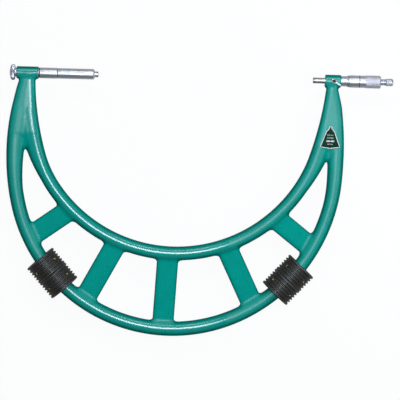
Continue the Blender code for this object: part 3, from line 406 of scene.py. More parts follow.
casting = dict(
    innerRib=19.5, outerRib=20.2,  # diameters
    innerArc=(111.6, -39.6, 208.3),  # the lowest arc's centre and radius
    innerLeft=((35.8, 158.8), (16.9, 388.3)),  # where the next arc begins, and its radius
    innerRight=((35.1, 192.5), (18.6, 464.3)),
    outerArc=(107.8, -133.2, 221.1),
    outerLeft=((13.0, 316.5),),
    outerRight=((64.2, 232.7), (4.3, 482.0)),
    armShift=(-0.6, 1.8),  # of the outer rib, on the arms
    spokeHub=(112.1, -85.1),
    spokeAngles=(-54.4, -28.2, -2.8, 25.85, 52.15),
    spokeWidth=29.9, spokeThickness=10.0, spokeCrown=8.5, spokeFillet=4.4,
    armFoot=(-105.4, -112.5),  # above the end windows' tips
    outerFlare=(4.6, 2.2, 56.0), innerFlare=(4.9, 4.7, 43.0),  # and the length
    flarePower=1.2, webRise=24.0, webThickness=7.0, shoulder=10.0, shoulderPower=2.6,
    neckY=-12.5, neckThickness=14.4, neckTaper=70.0, neckFillet=4.0,
    boss=17.0, leftBoss=(-113.9, -83.26), rightBoss=(316.96, 338.96), bossChamfer=0.8,
    bores=(5.3, 4.3, 6.0), boreStep=334.0,
    cell=1.33, rounds=4, low=(-127, -366, -12.2), high=(349, 11.5, 12.2),
)


def arcChain(lowest, left, right):
    # tangent arcs as (first angle, last angle, centre x, centre y, radius): the lowest one, those
    # on its right and those on its left, each with its centre on the line to the arc before it
    chain = [(left[0][0] - 180, -right[0][0], *lowest)]
    for arcs, base, sign, last in ((right, 0, -1, 40.0), (left, -180, 1, -220.0)):
        x, y, radius = lowest
        angles = [base + sign * begins for begins, nextRadius in arcs] + [last]
        for number, (begins, nextRadius) in enumerate(arcs):
            x += cos(radians(angles[number])) * (radius - nextRadius)
            y += sin(radians(angles[number])) * (radius - nextRadius)
            radius = nextRadius
            chain.append((*sorted(angles[number:number + 2]), x, y, radius))
    return chain


innerChain = arcChain(casting["innerArc"], casting["innerLeft"], casting["innerRight"])
outerChain = arcChain(casting["outerArc"], casting["outerLeft"], casting["outerRight"])


def pointOn(chain, angle):
    # the point at this angle of the path's normal
    for first, last, x, y, radius in chain:
        if first <= angle <= last:
            return np.array([x + cos(radians(angle)) * radius, y + sin(radians(angle)) * radius])


def ribOffset(chain, x, y):
    # signed distance from the rib's centre line in plan: each arc rules its own sector
    offset = np.full(np.broadcast(x, y).shape, 500.0)
    for first, last, centreX, centreY, radius in chain:
        angle = np.degrees(np.arctan2(y - centreY, x - centreX))
        angle = np.where(angle > 90, angle - 360, angle)
        inSector = (angle >= first) & (angle < last)
        offset = np.where(inSector, np.hypot(x - centreX, y - centreY) - radius, offset)
    return offset


def joinedField(a, b, blend):
    # the nearer of two surfaces, filleted where both are close: less (blend - |a - b|)^2 / 4 blend
    close = np.maximum(blend - np.abs(a - b), 0)
    return np.minimum(a, b) - close * close / (4 * blend)


def slabField(z, half, power, *edges):
    # a slab with rounded shoulders: ((sum of edge^power + |z / half|^power)^(1 / power) - 1) half
    total = sum(edge ** power for edge in edges) + (np.abs(z) / half) ** power
    return (total ** (1 / power) - 1) * half


def bossField(x, y, z, low, high):
    # a cylinder along X with rounded ends
    chamfer = casting["bossChamfer"]
    side = np.hypot(y, z) - casting["boss"] / 2 + chamfer
    end = np.maximum(low - x, x - high) + chamfer
    outside = np.hypot(np.maximum(side, 0), np.maximum(end, 0))
    return outside + np.minimum(np.maximum(side, end), 0) - chamfer


def spokesField(x, y, z):
    # flat bars from the hub outwards, crowned towards both edges
    hubX, hubY = casting["spokeHub"]
    half, crown, spokes = casting["spokeThickness"] / 2, casting["spokeCrown"], 500.0
    for angle in casting["spokeAngles"]:
        downX, downY = sin(radians(angle)), -cos(radians(angle))
        down = (x - hubX) * downX + (y - hubY) * downY
        across = np.abs((y - hubY) * downX - (x - hubX) * downY)
        edge = np.maximum(across - casting["spokeWidth"] / 2 + crown, 0)
        bar = slabField(z, half, casting["shoulderPower"], edge / crown)
        spokes = np.minimum(spokes, np.where(down > 0, bar, 500.0))
    return spokes


def castingField(x, y, z):
    # negative inside the casting: two ribs, five spokes, two arms and two bosses, less the bores
    onLeft = x < casting["spokeHub"][0]
    inner, outer = ribOffset(innerChain, x, y), ribOffset(outerChain, x, y)
    outer = outer + np.where(onLeft, *casting["armShift"]) * smoothStep((y + 40) / 30)
    rise = y - np.where(onLeft, *casting["armFoot"])
    flat = smoothStep(rise / casting["webRise"])
    # the arms thin down towards the bosses
    halfOuter, halfInner = casting["outerRib"] / 2, casting["innerRib"] / 2
    full, neck = (halfOuter + halfInner) / 2, casting["neckThickness"] / 2
    half = neck + (full - neck) * smoothStep((casting["neckY"] - y) / casting["neckTaper"])
    armZ = z * full / half

    def ribField(offset, half, window, left, right, length):
        # a round rib that swells on the window's side towards the tips of the end windows
        swell = np.clip(1 + np.minimum(rise + 2.5, 0) / length, 0, 1) ** casting["flarePower"]
        swell = swell * np.where(onLeft, left, right)
        plan = np.where(offset * window > 0, offset * half / (half + swell), offset)
        return np.hypot(plan, armZ * (1 + (half / full - 1) * flat)) - half

    outerRib = ribField(outer, halfOuter, -1, *casting["outerFlare"])
    innerRib = ribField(inner, halfInner, 1, *casting["innerFlare"])
    # an arm is a plate with rounded shoulders, which starts as a thin web at its foot
    web = casting["webThickness"] / 2
    web = web + (full - web) * flat
    power = 2 + (casting["shoulderPower"] - 2) * flat
    fromOuter, fromInner = halfOuter - outer, halfInner + inner
    edges = [np.maximum(1 - side / casting["shoulder"], 0) for side in (fromOuter, fromInner)]
    plate = slabField(armZ, web, power, *edges, np.maximum(1 - (rise - 2.2) / 4.0, 0))
    inside = smoothStep((np.minimum(fromOuter, fromInner) - 4) / 8)
    blend = 0.3 + inside * (0.7 + 3.0 * (1 - smoothStep((rise - 4) / 16)))
    # where an arm gets narrow its ribs fade into the plate
    fade = smoothStep((36 - np.minimum(fromOuter + fromInner, 100)) / 10)
    arms = joinedField(joinedField(outerRib, innerRib, blend) + 5.0 * fade, plate, blend)
    # the spokes end on the two ribs' lines
    spokes = np.maximum(spokesField(x, y, z), np.maximum(-inner, outer))
    body = joinedField(np.maximum(arms, y + 3.0), spokes, casting["spokeFillet"])
    bosses = [bossField(x, y, z, *casting[boss]) for boss in ("leftBoss", "rightBoss")]
    body = joinedField(body, np.minimum(*bosses), casting["neckFillet"])
    left, middle, right = casting["bores"]
    bore = np.where(onLeft, left, np.where(x < casting["boreStep"], middle, right))
    return np.maximum(body, bore - np.hypot(y, z))


varnish = dict(
    ribHalf=5.5, ribEdge=3.5, armStart=12.0, armLength=56.0, armShine=(0.3, 0.5),
    leftRidges=(0.12, 0.6), rightRidge=0.5,  # inner and outer
    footPlace=11.0, footWidth=1.7, footShine=0.9,  # the spokes' lower ends
    wear=0.42, dull=0.25,
)


def castingMatte(x, y):
    # how much of the varnish's shine is gone: least on the lowest ribs and the spokes' feet, more
    # on the ribs further up, most on the spokes, and nothing near the measuring line
    inner, outer = np.abs(ribOffset(innerChain, x, y)), np.abs(ribOffset(outerChain, x, y))
    onLeft = x < casting["spokeHub"][0]
    rise = y - np.where(onLeft, *casting["armFoot"])
    away = smoothStep((np.minimum(outer, inner) - varnish["ribHalf"]) / varnish["ribEdge"])
    foot = np.exp(-((outer - varnish["footPlace"]) / varnish["footWidth"]) ** 2)
    arm = smoothStep((rise - varnish["armStart"]) / varnish["armLength"])
    matte = away * (1 - varnish["footShine"] * foot) * (1 - np.where(onLeft, *varnish["armShine"]) * arm)
    ridge = np.where(inner < outer, *varnish["leftRidges"])
    ridge = np.where(onLeft, ridge, varnish["rightRidge"])
    wornRight = varnish["wear"] * smoothStep((x - 150) / 70)
    wornLeft = varnish["wear"] * smoothStep((-30 - x) / 50) * (outer < inner)
    for layer in (ridge * smoothStep((rise + 20) / 50), wornRight, wornLeft):
        matte = np.maximum(matte, layer)
    return matte * smoothStep((-5 - y) / 10)


def skinOfField(field, low, high, cell):
    # one point in every cell that the surface crosses, at the mean of its crossings of the
    # cell's edges, and one quad round every edge of the grid that it crosses
    axes = [np.arange(a, b + cell, cell) for a, b in zip(low, high)]
    value = np.asarray(field(*np.meshgrid(*axes, indexing="ij", sparse=True)))
    inside = value < 0
    shape = tuple(n - 1 for n in inside.shape)
    total, place = np.zeros(shape), np.zeros(shape + (3,))

    def shifted(array, offset):
        return array[tuple(slice(o, o + n) for o, n in zip(offset, shape))]

    for axis in range(3):
        for side in range(4):
            start = np.roll([0, side % 2, side // 2], axis)
            end = start + np.roll([1, 0, 0], axis)
            crosses = shifted(inside, start) != shifted(inside, end)
            here, there = shifted(value, start), shifted(value, end)
            share = np.where(crosses, here / np.where(crosses, here - there, 1.0), 0.0)
            total += crosses
            for k in range(3):
                place[..., k] += share if k == axis else crosses * start[k]
    active = total > 0
    number = np.full(shape, -1)
    number[active] = np.arange(active.sum())
    points = np.argwhere(active) + place[active] / total[active][:, None]
    points = points * cell + np.array([a[0] for a in axes])
    quads = []
    for axis in range(3):
        stepU, stepV = np.roll([0, 1, 0], axis), np.roll([0, 0, 1], axis)
        for sign in (-1, 1):
            spots = np.argwhere(np.diff(inside.astype(int), axis=axis) == sign)
            spots = spots[(spots @ stepU > 0) & (spots @ stepV > 0)]
            ring = [spots, spots - stepU, spots - stepU - stepV, spots - stepV]
            quads.append(np.stack([number[tuple(s.T)] for s in ring[::-sign]], axis=-1))
    return points, np.concatenate(quads)


def slopeOf(field, points, small=0.02):
    return np.stack([field(*(points + small * unit).T) - field(*(points - small * unit).T)
                     for unit in np.eye(3)], axis=-1) / (2 * small)


def settled(points, quads, field, rounds, cell):
    # points slide towards the middle of their neighbours and step back onto the surface
    ends = np.concatenate([quads[:, [k, (k + 1) % 4]] for k in range(4)])
    count = np.bincount(ends[:, 0], minlength=len(points))
    for turn in range(rounds + 2):
        if turn < rounds:
            middle = [np.bincount(ends[:, 0], points[ends[:, 1], k], len(points)) for k in range(3)]
            points = 0.5 * points + 0.5 * np.stack(middle, axis=-1) / count[:, None]
        value = field(*points.T)
        slope = slopeOf(field, points)
        step = value[:, None] * slope / np.maximum((slope ** 2).sum(axis=1), 0.05)[:, None]
        length = np.linalg.norm(step, axis=1)[:, None]
        points = points - step * np.minimum(1, 0.5 * cell / np.maximum(length, 1e-9))
    return points


def castingPiece():
    # the skin of the field, with the field's own slope as its normals and dull paint where it is matte
    cell = casting["cell"]
    points, quads = skinOfField(castingField, casting["low"], casting["high"], cell)
    points = settled(points, quads, castingField, casting["rounds"], cell)
    mesh = meshFromArrays("casting", points, quads)
    points = vectorsOf(mesh.vertices, "co")
    matte = castingMatte(points[:, 0], points[:, 1])
    mesh.attributes.new("matte", "FLOAT", "POINT").data.foreach_set("value", matte)
    addPiece("casting", mesh, "enamel", "frame_body", "frame", 60)
    mesh.materials.append(finishes["enamelDull"])
    isDull = matte[quads].mean(axis=1) > varnish["dull"]
    mesh.polygons.foreach_set("material_index", isDull.astype(np.int32))
    slopes = slopeOf(castingField, points)
    slopes /= np.maximum(np.linalg.norm(slopes, axis=1), 1e-6)[:, None]
    mesh.normals_split_custom_set_from_vertices(slopes.tolist())
    print("casting:", len(quads), "quads")


castingPiece()


# bare machined faces of the bosses: side and end, which way it looks, radii of hole and rim

for side, end, outward, bore, rim in (("left", 0, -1, 5.3, 7.9), ("left", 1, 1, 5.3, 8.1),
                                      ("right", 0, -1, 4.35, 7.7), ("right", 1, 1, 6.05, 7.9)):
    face, step = casting[side + "Boss"][end], 0.35 * outward
    name = side + "Boss" + ("Outer" if (side == "left") == (end == 0) else "Inner") + "Face"
    back, front = face - step, face + step * 0.4
    turnedPiece(name, [(back, bore), (front, bore), (front, rim), (back, rim)], 0.05, "satinChrome")


# anvil

anvil = dict(
    rod=14.5, shank=10.0, collar=14.9, joint=-56.86, shoulder=-7.0, cone=1.7,
    tipShoulder=-5.2, face=8.0, tip=2.0, nut=21.8, nutRim=6.7, nutHub=12.6,
    nutLength=8.5, coinPitch=1.15, coinDepth=0.35,
)
nutFace = casting["leftBoss"][0] - gap - anvil["nutLength"]


def anvilPieces():
    rod, shank, tip = anvil["rod"] / 2, anvil["shank"] / 2, anvil["face"] / 2
    neck, joint, shoulder, seat = rod - anvil["cone"], anvil["joint"], anvil["shoulder"], -anvil["tip"]
    turnedPiece("anvilRod", [
        (nutFace - 0.6, 0), (nutFace - 0.6, shank - 0.6), (nutFace, shank), (joint + 0.15, shank),
        (joint + 0.15, rod - 0.5), (joint + 0.6, rod), (shoulder, rod), (shoulder + anvil["cone"], neck),
        (anvil["tipShoulder"], neck), (anvil["tipShoulder"], tip), (seat - 0.1, tip), (seat - 0.1, 0)
        ], 0.25, "satinChrome", cadNode="anvil_rod")
    profile = [(seat, 0), (seat, tip), (-0.3, tip), (0, tip - 0.3), (0, 0)]
    turnedPiece("anvilTip", profile, 0.08, "carbide", cadNode="anvil_tip")
    start, end, rim = casting["leftBoss"][1] + gap, joint - 0.15, anvil["collar"] / 2
    turnedPiece("anvilCollar", [
        (start, 5.3), (start, rim - 0.9), (start + 1.3, rim - 0.9), (start + 1.3, rim),
        (end - 0.4, rim), (end, rim - 0.5), (end, 5.3)], 0.25, "satinChrome", cadNode="anvil_collar")
    # painted shade: a dark chrome ring lies in the collar's undercut, where shade falls
    low, high, r = start + 0.05, start + 1.25, rim - 0.55
    turnedPiece("collarUndercutShade", [(low, 5.4), (low, r), (high, r), (high, 5.4)], 0.1, "grooveShadeChrome")


def clampNut():
    face, rim, hub = nutFace, anvil["nut"] / 2, anvil["nutHub"] / 2
    back, seat = face + anvil["nutRim"], face + anvil["nutLength"]
    teeth = round(pi * anvil["nut"] / anvil["coinPitch"])

    def coinEdge(x, angle, r):
        onRim = smoothStep((r - rim + 1.3) / 0.9) * smoothStep((back - 0.5 - x) / 0.6)
        return anvil["coinDepth"] * onRim * triangleWave(angle * teeth / (2 * pi))

    profile = [(face, 5.3), (face, 6.0), (face + 0.5, 8.4), (face + 1.5, 10.2), (face + 2.6, rim),
               (back - 0.9, rim), (back, rim - 1.3), (back, hub), (seat, hub), (seat, 5.3)]
    mesh = turnedMesh("clampNut", profile, 0.45, teeth * 6, coinEdge, (face, back, 0.35))
    addPiece("clampNut", mesh, "satinChrome", "clamp_nut_body", "anvil_clamp_nut", 50)


anvilPieces()
clampNut()
print("anvil made")


# head: sleeve, spindle, thimble and ratchet

head = dict(
    travel=25.0, sleeve=14.2, sleeveBore=12.0, sleeveShown=9.0, thimble=17.0,
    thimbleEdge=15.5, bevel=4.5, band=18.0, bandLength=21.0, spare=21.6, wall=4.0,
    knurlPitch=1.0, knurlDepth=0.26, neck=8.9, neckLength=6.7,
    knob=10.4, knobLength=10.4, knobPitch=0.85, knobDepth=0.22,
    faceAt=300.0, tip=2.0, spindle=8.0, thread=7.0, threadLength=16.0, stem=4.0,
)
thimbleStart = casting["rightBoss"][1] + head["sleeveShown"]
thimbleEnd = thimbleStart + head["travel"] + head["spare"]
sleeveEnd = thimbleStart + head["travel"] + 2
seatAt = thimbleEnd - head["wall"]
neckStart = thimbleEnd + gap
neckEnd = neckStart + head["neckLength"]
knobStart = neckEnd + gap
knobEnd = knobStart + head["knobLength"]


def diamondKnurl(low, high, radius, pitch, depth, fade):
    # two families of crossing grooves; each diamond is highest in its middle
    turns = round(2 * pi * radius / pitch)

    def relief(x, angle, r):
        along = x / pitch
        around = angle * turns / (2 * pi)
        first, second = triangleWave(around + along), triangleWave(around - along)
        inBand = smoothStep((x - low) / fade) * smoothStep((high - x) / fade)
        inBand = inBand * smoothStep((r - radius + 0.7) / 0.4)
        return depth * inBand * (1 - np.minimum(first, second))

    return relief, turns * 6


def knurledPiece(name, profile, soften, body, cadNode, knurl, fine, band):
    # a turned piece with a diamond knurl; the faces of the band, from X to X outside a radius, are paler
    relief, sides = diamondKnurl(*knurl)
    mesh = turnedMesh(name, profile, soften, sides, relief, fine)
    addPiece(name, mesh, "satinChrome", body, cadNode, 50)
    mesh.materials.append(finishes["knurledChrome"])
    x, y, z = vectorsOf(mesh.polygons, "center").T
    low, high, radius = band
    inBand = (x > low) & (x < high) & (np.hypot(y, z) > radius)
    mesh.polygons.foreach_set("material_index", inBand.astype(np.int32))


def sleevePieces():
    r, bore = head["sleeve"] / 2, head["sleeveBore"] / 2
    start = casting["rightBoss"][1] + gap
    profile = [(start, bore), (start, r), (sleeveEnd, r), (sleeveEnd, bore)]
    turnedPiece("sleeve", profile, 0.15, "satinChrome", cadNode="outer_sleeve")
    # the spindle: its rod, its screw at the end of its travel, and the cone in the thimble
    r, thread, tip = head["spindle"] / 2, head["thread"] / 2, head["faceAt"] + head["tip"]
    screwStart = seatAt - 6 - head["threadLength"] - head["travel"] - 1
    profile = [(tip + 0.1, 0), (tip + 0.1, r), (screwStart, r), (screwStart + 0.5, thread),
               (seatAt - 2, thread), (seatAt + 3.5, 3.0), (seatAt + 3.5, 2.3), (seatAt - 6, 2.3),
               (seatAt - 6, 0)]
    turnedPiece("spindleRod", profile, 0.1, "groundSteel", "spindle_body", "spindle")
    face = head["faceAt"]
    profile = [(face, 0), (face, r - 0.3), (face + 0.3, r), (tip, r), (tip, 0)]
    turnedPiece("spindleTip", profile, 0.08, "carbide", "spindle_body", "spindle_tip")


def thimblePiece():
    inside, body, grip = head["sleeve"] / 2 + gap, head["thimble"] / 2, head["band"] / 2
    start, end = thimbleStart, thimbleEnd
    band = end - head["bandLength"]
    knurl = (band + 0.3, end - 1.3, grip, head["knurlPitch"], head["knurlDepth"], 0.5)
    profile = [(start, inside), (start, head["thimbleEdge"] / 2), (start + head["bevel"], body),
               (band, body), (band + 0.4, grip), (end - 1.2, grip), (end, grip - 1.2), (end, 3.4),
               (seatAt, 3.8), (seatAt, inside)]
    knurledPiece("thimbleDrum", profile, 0.12, "thimble_body", "thimble", knurl, (band, end - 0.8, 0.17),
                 (band + 0.3, end - 0.9, grip - 0.6))
    # painted shade: a thin dark ring round the thimble stands in for the shade in a groove
    low, sunk, r = band - 9.3, body - 0.3, body + 0.02
    profile = [(low, sunk), (low + 0.1, r), (low + 0.9, r), (low + 1.0, sunk)]
    turnedPiece("thimbleGrooveShade", profile, 0.05, "grooveShadeChrome", "thimble_body")


def ratchetPieces():
    neck, stem, hole = head["neck"] / 2, head["stem"] / 2, 1.4
    step, start, end = head["neckLength"] / 3, knobStart, knobEnd
    spigot = end - 3.3
    profile = [(seatAt - 5.5, 0), (seatAt - 5.5, stem), (neckStart, stem)]
    for low in (neckStart, neckStart + step, neckStart + step * 2):
        profile += [(low, neck - 0.9), (low + 0.35, neck - 0.9), (low + 0.5, neck),
                    (low + step - 0.25, neck)]
    profile += [(neckEnd, neck - 0.6), (neckEnd, stem), (spigot, stem), (spigot, hole),
                (spigot - 2.8, hole), (spigot - 2.8, 0)]
    turnedPiece("ratchetNeck", profile, 0.12, "satinChrome", "thimble_body", "ratchet_body", 64)
    r, cavity = head["knob"] / 2, neck - 0.5
    knurl = (start + 0.8, end - 3.4, r, head["knobPitch"], head["knobDepth"], 0.4)
    profile = [(start, cavity), (start, r - 0.5), (start + 0.8, r), (end - 2.4, r), (end - 0.7, r - 0.8),
               (end, r - 2.2), (end, 2.6), (end - 1.6, 2.6), (end - 1.6, hole), (end - 3.0, hole),
               (end - 3.0, cavity)]
    knurledPiece("ratchetKnob", profile, 0.3, "ratchet_knob_body", "ratchet_knob", knurl,
                 (start, end - 2.2, 0.15), (start + 0.8, end - 3.0, r - 0.5))


sleevePieces()
thimblePiece()
ratchetPieces()
print("head made")


# grips

grips = dict(
    turns=dict(left=-138.4, right=-42.8), diameter=47.0, length=54.4, seam=0.4,
    fins=6, finDepth=2.0, crest=0.30, root=0.26, bore=10.6, halfSeam=0.15,
    screwPlace=16.404, screw=2.6, screwHead=4.2, screwSeat=8.0, slot=(0.7, 6.0, 1.6),
    nut=5.6,
)


def finLine(length):
    # one collar's outside along its axis: flat crests and roots with slanted flanks
    pitch = length / grips["fins"]
    crest, lip = grips["diameter"] / 2, grips["root"] / 2
    root = crest - grips["finDepth"]
    slope = (1 - grips["crest"] - grips["root"]) / 2
    low = -length / 2 + pitch * np.arange(grips["fins"])[:, None]
    x = (low + pitch * np.array([lip, lip + slope, 1 - lip - slope, 1 - lip])[None, :]).ravel()
    r = np.tile([root, crest, crest, root], grips["fins"]).astype(float)
    x[0], x[-1] = -length / 2, length / 2
    r[0], r[-1] = crest - 0.7, crest - 0.7
    return np.stack([x, r], axis=-1)


def gripShell(name, length):
    # the closed line of fins and bore makes half a turn, and both ends are capped
    bore = [(length / 2, grips["bore"]), (-length / 2, grips["bore"])]
    line = softLine(np.concatenate([finLine(length), bore]), 0.45, 5)
    rows, columns = len(line), 49
    points = turnedPoints(line, np.linspace(0, pi, columns))
    caps = [np.arange(rows) * columns, np.arange(rows)[::-1] * columns + columns - 1]
    return cleaned(meshFromArrays(name, points, gridQuads(rows, columns, True, False), caps))


def screwHole(name, x, y, sign, wide):
    seat, top = grips["screwSeat"], grips["diameter"] / 2 + 1
    profile = [(-1, 0), (-1, 1.6), (seat, 1.6), (seat, wide), (top, wide), (top, 0)]
    return newObject(name, upright(turnedMesh(name, profile, 0.0, 40), x, y, sign))


def clampScrewMesh(name, x, y):
    shank, head, seat = grips["screw"] / 2, grips["screwHead"] / 2, grips["screwSeat"] + gap
    profile = [(-11.0, 0), (-11.0, shank), (seat, shank), (seat, head), (seat + 1.3, head),
               (seat + 2.0, head * 0.55), (seat + 2.0, 0)]
    piece = newObject(name, upright(turnedMesh(name, profile, 0.25, 40), x, y))
    # the slot points another way on each screw
    size = Matrix.Diagonal([side * mm for side in grips["slot"]] + [1])
    place = Matrix.Translation((x * mm, y * mm, (seat + 2.0) * mm)) @ Matrix.Rotation(x * 0.7 + y, 4, "Z")
    slot, work = bpy.data.meshes.new(name + "Slot"), bmesh.new()
    bmesh.ops.create_cube(work, size=1.0, matrix=place @ size)
    work.to_mesh(slot)
    work.free()
    return cutAway(piece, [newObject(name + "Slot", slot)])


def hexNutMesh(name, x, y):
    low, high = -grips["screwSeat"] - gap - 2.2, -grips["screwSeat"] - gap
    angle = np.linspace(0, 2 * pi, 72, endpoint=False)
    flats = hexagon(grips["nut"], angle)
    pairs = [(1.6, low), (flats, low), (flats, high), (1.6, high)]
    return ringedMesh(name, ringsAbout(x, y, angle, pairs), True)


def makeGrips():
    # two collars on each side of the bow, each of a front and a back half with two screws
    collar = (grips["length"] - grips["seam"]) / 2
    shell = gripShell("shell", collar)
    halves = (("front", 0, grips["screwHead"], 1), ("back", pi, grips["nut"], -1))
    for side, turn in grips["turns"].items():
        along = np.array([-sin(radians(turn)), cos(radians(turn))])
        rotation = Matrix.Rotation(np.arctan2(along[1], along[0]), 4, "Z")
        for number, sign in enumerate((-1, 1), 1):
            middle = pointOn(outerChain, turn) + along * sign * (collar + grips["seam"]) / 2
            place = Matrix.Translation((*(middle * mm), 0)) @ rotation
            spots = [place @ Vector((0, edge * grips["screwPlace"] * mm, 0)) / mm for edge in (1, -1)]
            for face, over, wide, direction in halves:
                name = side + face.capitalize() + "Shell" + str(number)
                mesh = shell.copy()
                apart = Matrix.Translation((0, 0, grips["halfSeam"] * mm))
                mesh.transform(Matrix.Rotation(over, 4, "X") @ apart)
                mesh.transform(place)
                piece = newObject(name, mesh)
                tools = [screwHole(name + "Hole" + str(k), spot.x, spot.y, direction, wide / 2 + 0.3)
                         for k, spot in enumerate(spots)]
                addPiece(name, cutAway(piece, tools), "bakelite",
                         cadNode=f"{side}_grip_{face}_{number}", sharp=50)
            for k, spot in enumerate(spots, 1):
                for kind, maker in (("Screw", clampScrewMesh), ("Nut", hexNutMesh)):
                    name = f"grip{kind}_{side}_{number}_{k}"
                    addPiece(name, maker(name, spot.x, spot.y), "brass",
                             cadNode=f"{side}_grip_{kind.lower()}_{number}_{k}")


makeGrips()
print("grips made")


# name plate

plate = dict(
    x=325.96, foot=-94.5, height=31.0, tab=4.6, shoulder=11.6, footWidth=27.4,
    low=10.05, thickness=0.6, rim=1.0, pin=2.6,
    words=(("0.01 mm", 2.3, 3.6, 0.0), ("OUTSIDE", 2.3, -0.6, 0.0), ("300-400", 3.3, -5.0, 0.12),
              ("METRIC", 2.3, -9.3, 0.0)),
)
plateX, plateY = plate["x"], plate["foot"] + plate["height"] / 2


def plateSolid(name, levels):
    # rings of the bell-shaped outline, each drawn in by its inset on every side, at its height
    half, shoulder, foot = plate["height"] / 2, plate["shoulder"] / 2, plate["footWidth"] / 2
    right = [(plate["tab"] / 2, half), (plate["tab"] / 2, half - 2.8), (shoulder, half - 6.6),
             (foot - 0.3, -half + 4.6), (foot, -half + 1.9), (0.38 * foot, -half + 0.9)]
    line = softLine(right + [(0, -half)] + [(-x, y) for x, y in right[::-1]], 1.1, 5)
    ahead = np.roll(line, -1, axis=0) - np.roll(line, 1, axis=0)
    ahead = ahead / np.maximum(np.hypot(*ahead.T), 1e-9)[:, None]
    rings = [(plateX + line[:, 0] + inset * ahead[:, 1], plateY + line[:, 1] - inset * ahead[:, 0], height)
             for inset, height in levels]
    return ringedMesh(name, rings)


def namePlate():
    rim, low = plate["rim"], plate["low"]
    high = low + plate["thickness"]
    levels = [(0, low), (0, high - 0.1), (0.12, high), (rim - 0.1, high), (rim, high - 0.2)]
    addPiece("plateRim", plateSolid("plateRim", levels), "plateWhite", cadNode="name_plate")
    levels = [(rim + 0.02, high - 0.4), (rim + 0.02, high - 0.15), (rim + 0.15, high - 0.1)]
    addPiece("plateField", plateSolid("plateField", levels), "plateField")
    half, foot = plate["height"] / 2, plate["footWidth"] / 2
    r, bottom, top = plate["pin"] / 2, low + 0.1, high + 0.1
    profile = [(bottom, 0), (bottom, 0.6 * r), (top, 0.6 * r), (top, r), (top + 0.3, 0.8 * r),
               (top + 0.5, 0)]
    spots = ((0.0, half - 2.0), (-foot + 2.2, -half + 3.4), (foot - 2.2, -half + 3.4))
    for number, (x, y) in enumerate(spots, 1):
        name = f"platePin{number}"
        mesh = upright(turnedMesh(name, profile, 0.12, 32), plateX + x, plateY + y)
        addPiece(name, mesh, "pinBrown", cadNode=f"plate_pin_{number}")

    def onPlate(rise):
        return lambda points: points + np.array([plateX, plateY + rise, high - 0.05])

    words = [lettering("plateWords", text, size, 0.1, onPlate(rise), weight)
             for text, size, rise, weight in plate["words"]]
    addPiece("plateLettering", joined(words, "plateLettering"), "plateWhite")


namePlate()
print("plate made")


# spindle lock

lock = dict(
    x=328.96, eye=3.55, reach=11.7, tail=1.1, turn=-32.6, low=8.8, thickness=2.0,
    foot=8.5, head=5.1, hex=2.8, screw=4.0, screwLow=6.0, slope=0.6,
)


def leverReach(angle):
    # distance from the eye's centre to the outline: a round eye, melted into a bar with a round tail
    eye, tail, tip = lock["eye"], lock["tail"], lock["reach"] - lock["tail"]
    a = np.abs((angle + pi) % (2 * pi) - pi)
    end = tip * np.cos(a) + np.sqrt(np.maximum(tail ** 2 - (tip * np.sin(a)) ** 2, 0))
    flank = tail / np.maximum(np.sin(a), 1e-3)
    bar = np.where(a < np.arctan2(tail, tip), end, np.where(a < pi / 2, flank, 0.0))
    return (eye ** 8 + bar ** 8) ** (1 / 8)


def lockPieces():
    low, top = lock["low"], lock["low"] + lock["thickness"]
    # the lever is a ring of outlines round its eye, and slopes down towards its tail
    spread = np.linspace(-1, 1, 200, endpoint=False)
    angle = pi * spread * (0.2 + 0.8 * spread ** 2)
    line, eye = leverReach(angle), lock["eye"]
    slope = lock["slope"] * np.clip((line - eye) / (lock["reach"] - eye), 0, 1)
    recess, foot = lock["head"] / 2 + 0.15, lock["foot"] + 0.01
    pairs = [(recess - 0.1, foot), (eye - 0.4, foot), (eye - 0.4, low), (line - 0.15, low),
             (line, low + 0.2), (line, top - 0.5 - slope), (line - 0.12, top - 0.2 - slope),
             (np.maximum(line - 0.45, recess + 0.2), top - slope * 0.9), (recess + 0.1, top),
             (recess, top - 0.1), (recess, low + 0.4), (recess - 0.1, low + 0.3)]
    rings = ringsAbout(lock["x"], 0, angle + radians(lock["turn"]), pairs)
    mesh = ringedMesh("lockLever", rings, True)
    addPiece("lockLever", mesh, "satinChrome", "lock_lever_body", "lock_lever")
    # a round screw head with a six-sided hole
    angle = np.linspace(0, 2 * pi, 96, endpoint=False)
    flats, r, shank = hexagon(lock["hex"], angle), lock["head"] / 2 - 0.15, lock["screw"] / 2
    pairs = [(shank, lock["screwLow"]), (shank, low + 0.5), (r, low + 0.5), (r, top - 0.3),
             (r - 0.15, top - 0.1), (flats + 0.12, top - 0.1), (flats, top - 0.2), (flats, top - 1.4)]
    mesh = ringedMesh("lockScrewHead", ringsAbout(lock["x"], 0, angle, pairs))
    addPiece("lockScrewHead", mesh, "markBlack", "lock_lever_body", "lock_screw")


lockPieces()
print("lock made")


# graduations

scale = dict(line=0.2, proud=0.03, sunk=0.05, numeral=1.8, depth=0.06, index=14.0)


def stripes(name, radiusAt, marks):
    # thin bars on a turned surface; a mark is (x from, x to, angle from, angle to), and a bar is
    # five rings of four points, two sunk below the surface and two proud of it
    marks = np.asarray(marks, float)[:, None, None]
    side, up = np.array([0, 1, 1, 0]), np.array([0, 0, 1, 1])
    v = np.linspace(0, 1, 5)[:, None]
    x = marks[..., 0] * (1 - side) + marks[..., 1] * side + 0 * v
    a = marks[..., 2] * (1 - v) + marks[..., 3] * v + 0 * side
    r = radiusAt(x) - scale["sunk"] + (scale["sunk"] + scale["proud"]) * up
    points = np.stack([x, r * np.sin(a), r * np.cos(a)], axis=-1).reshape(-1, 3)
    bar = np.concatenate([gridQuads(5, 4), [[3, 2, 1, 0], [16, 17, 18, 19]]])
    quads = (bar + 20 * np.arange(len(marks))[:, None, None]).reshape(-1, 4)
    return cleaned(meshFromArrays(name, points, quads), 0.0005)


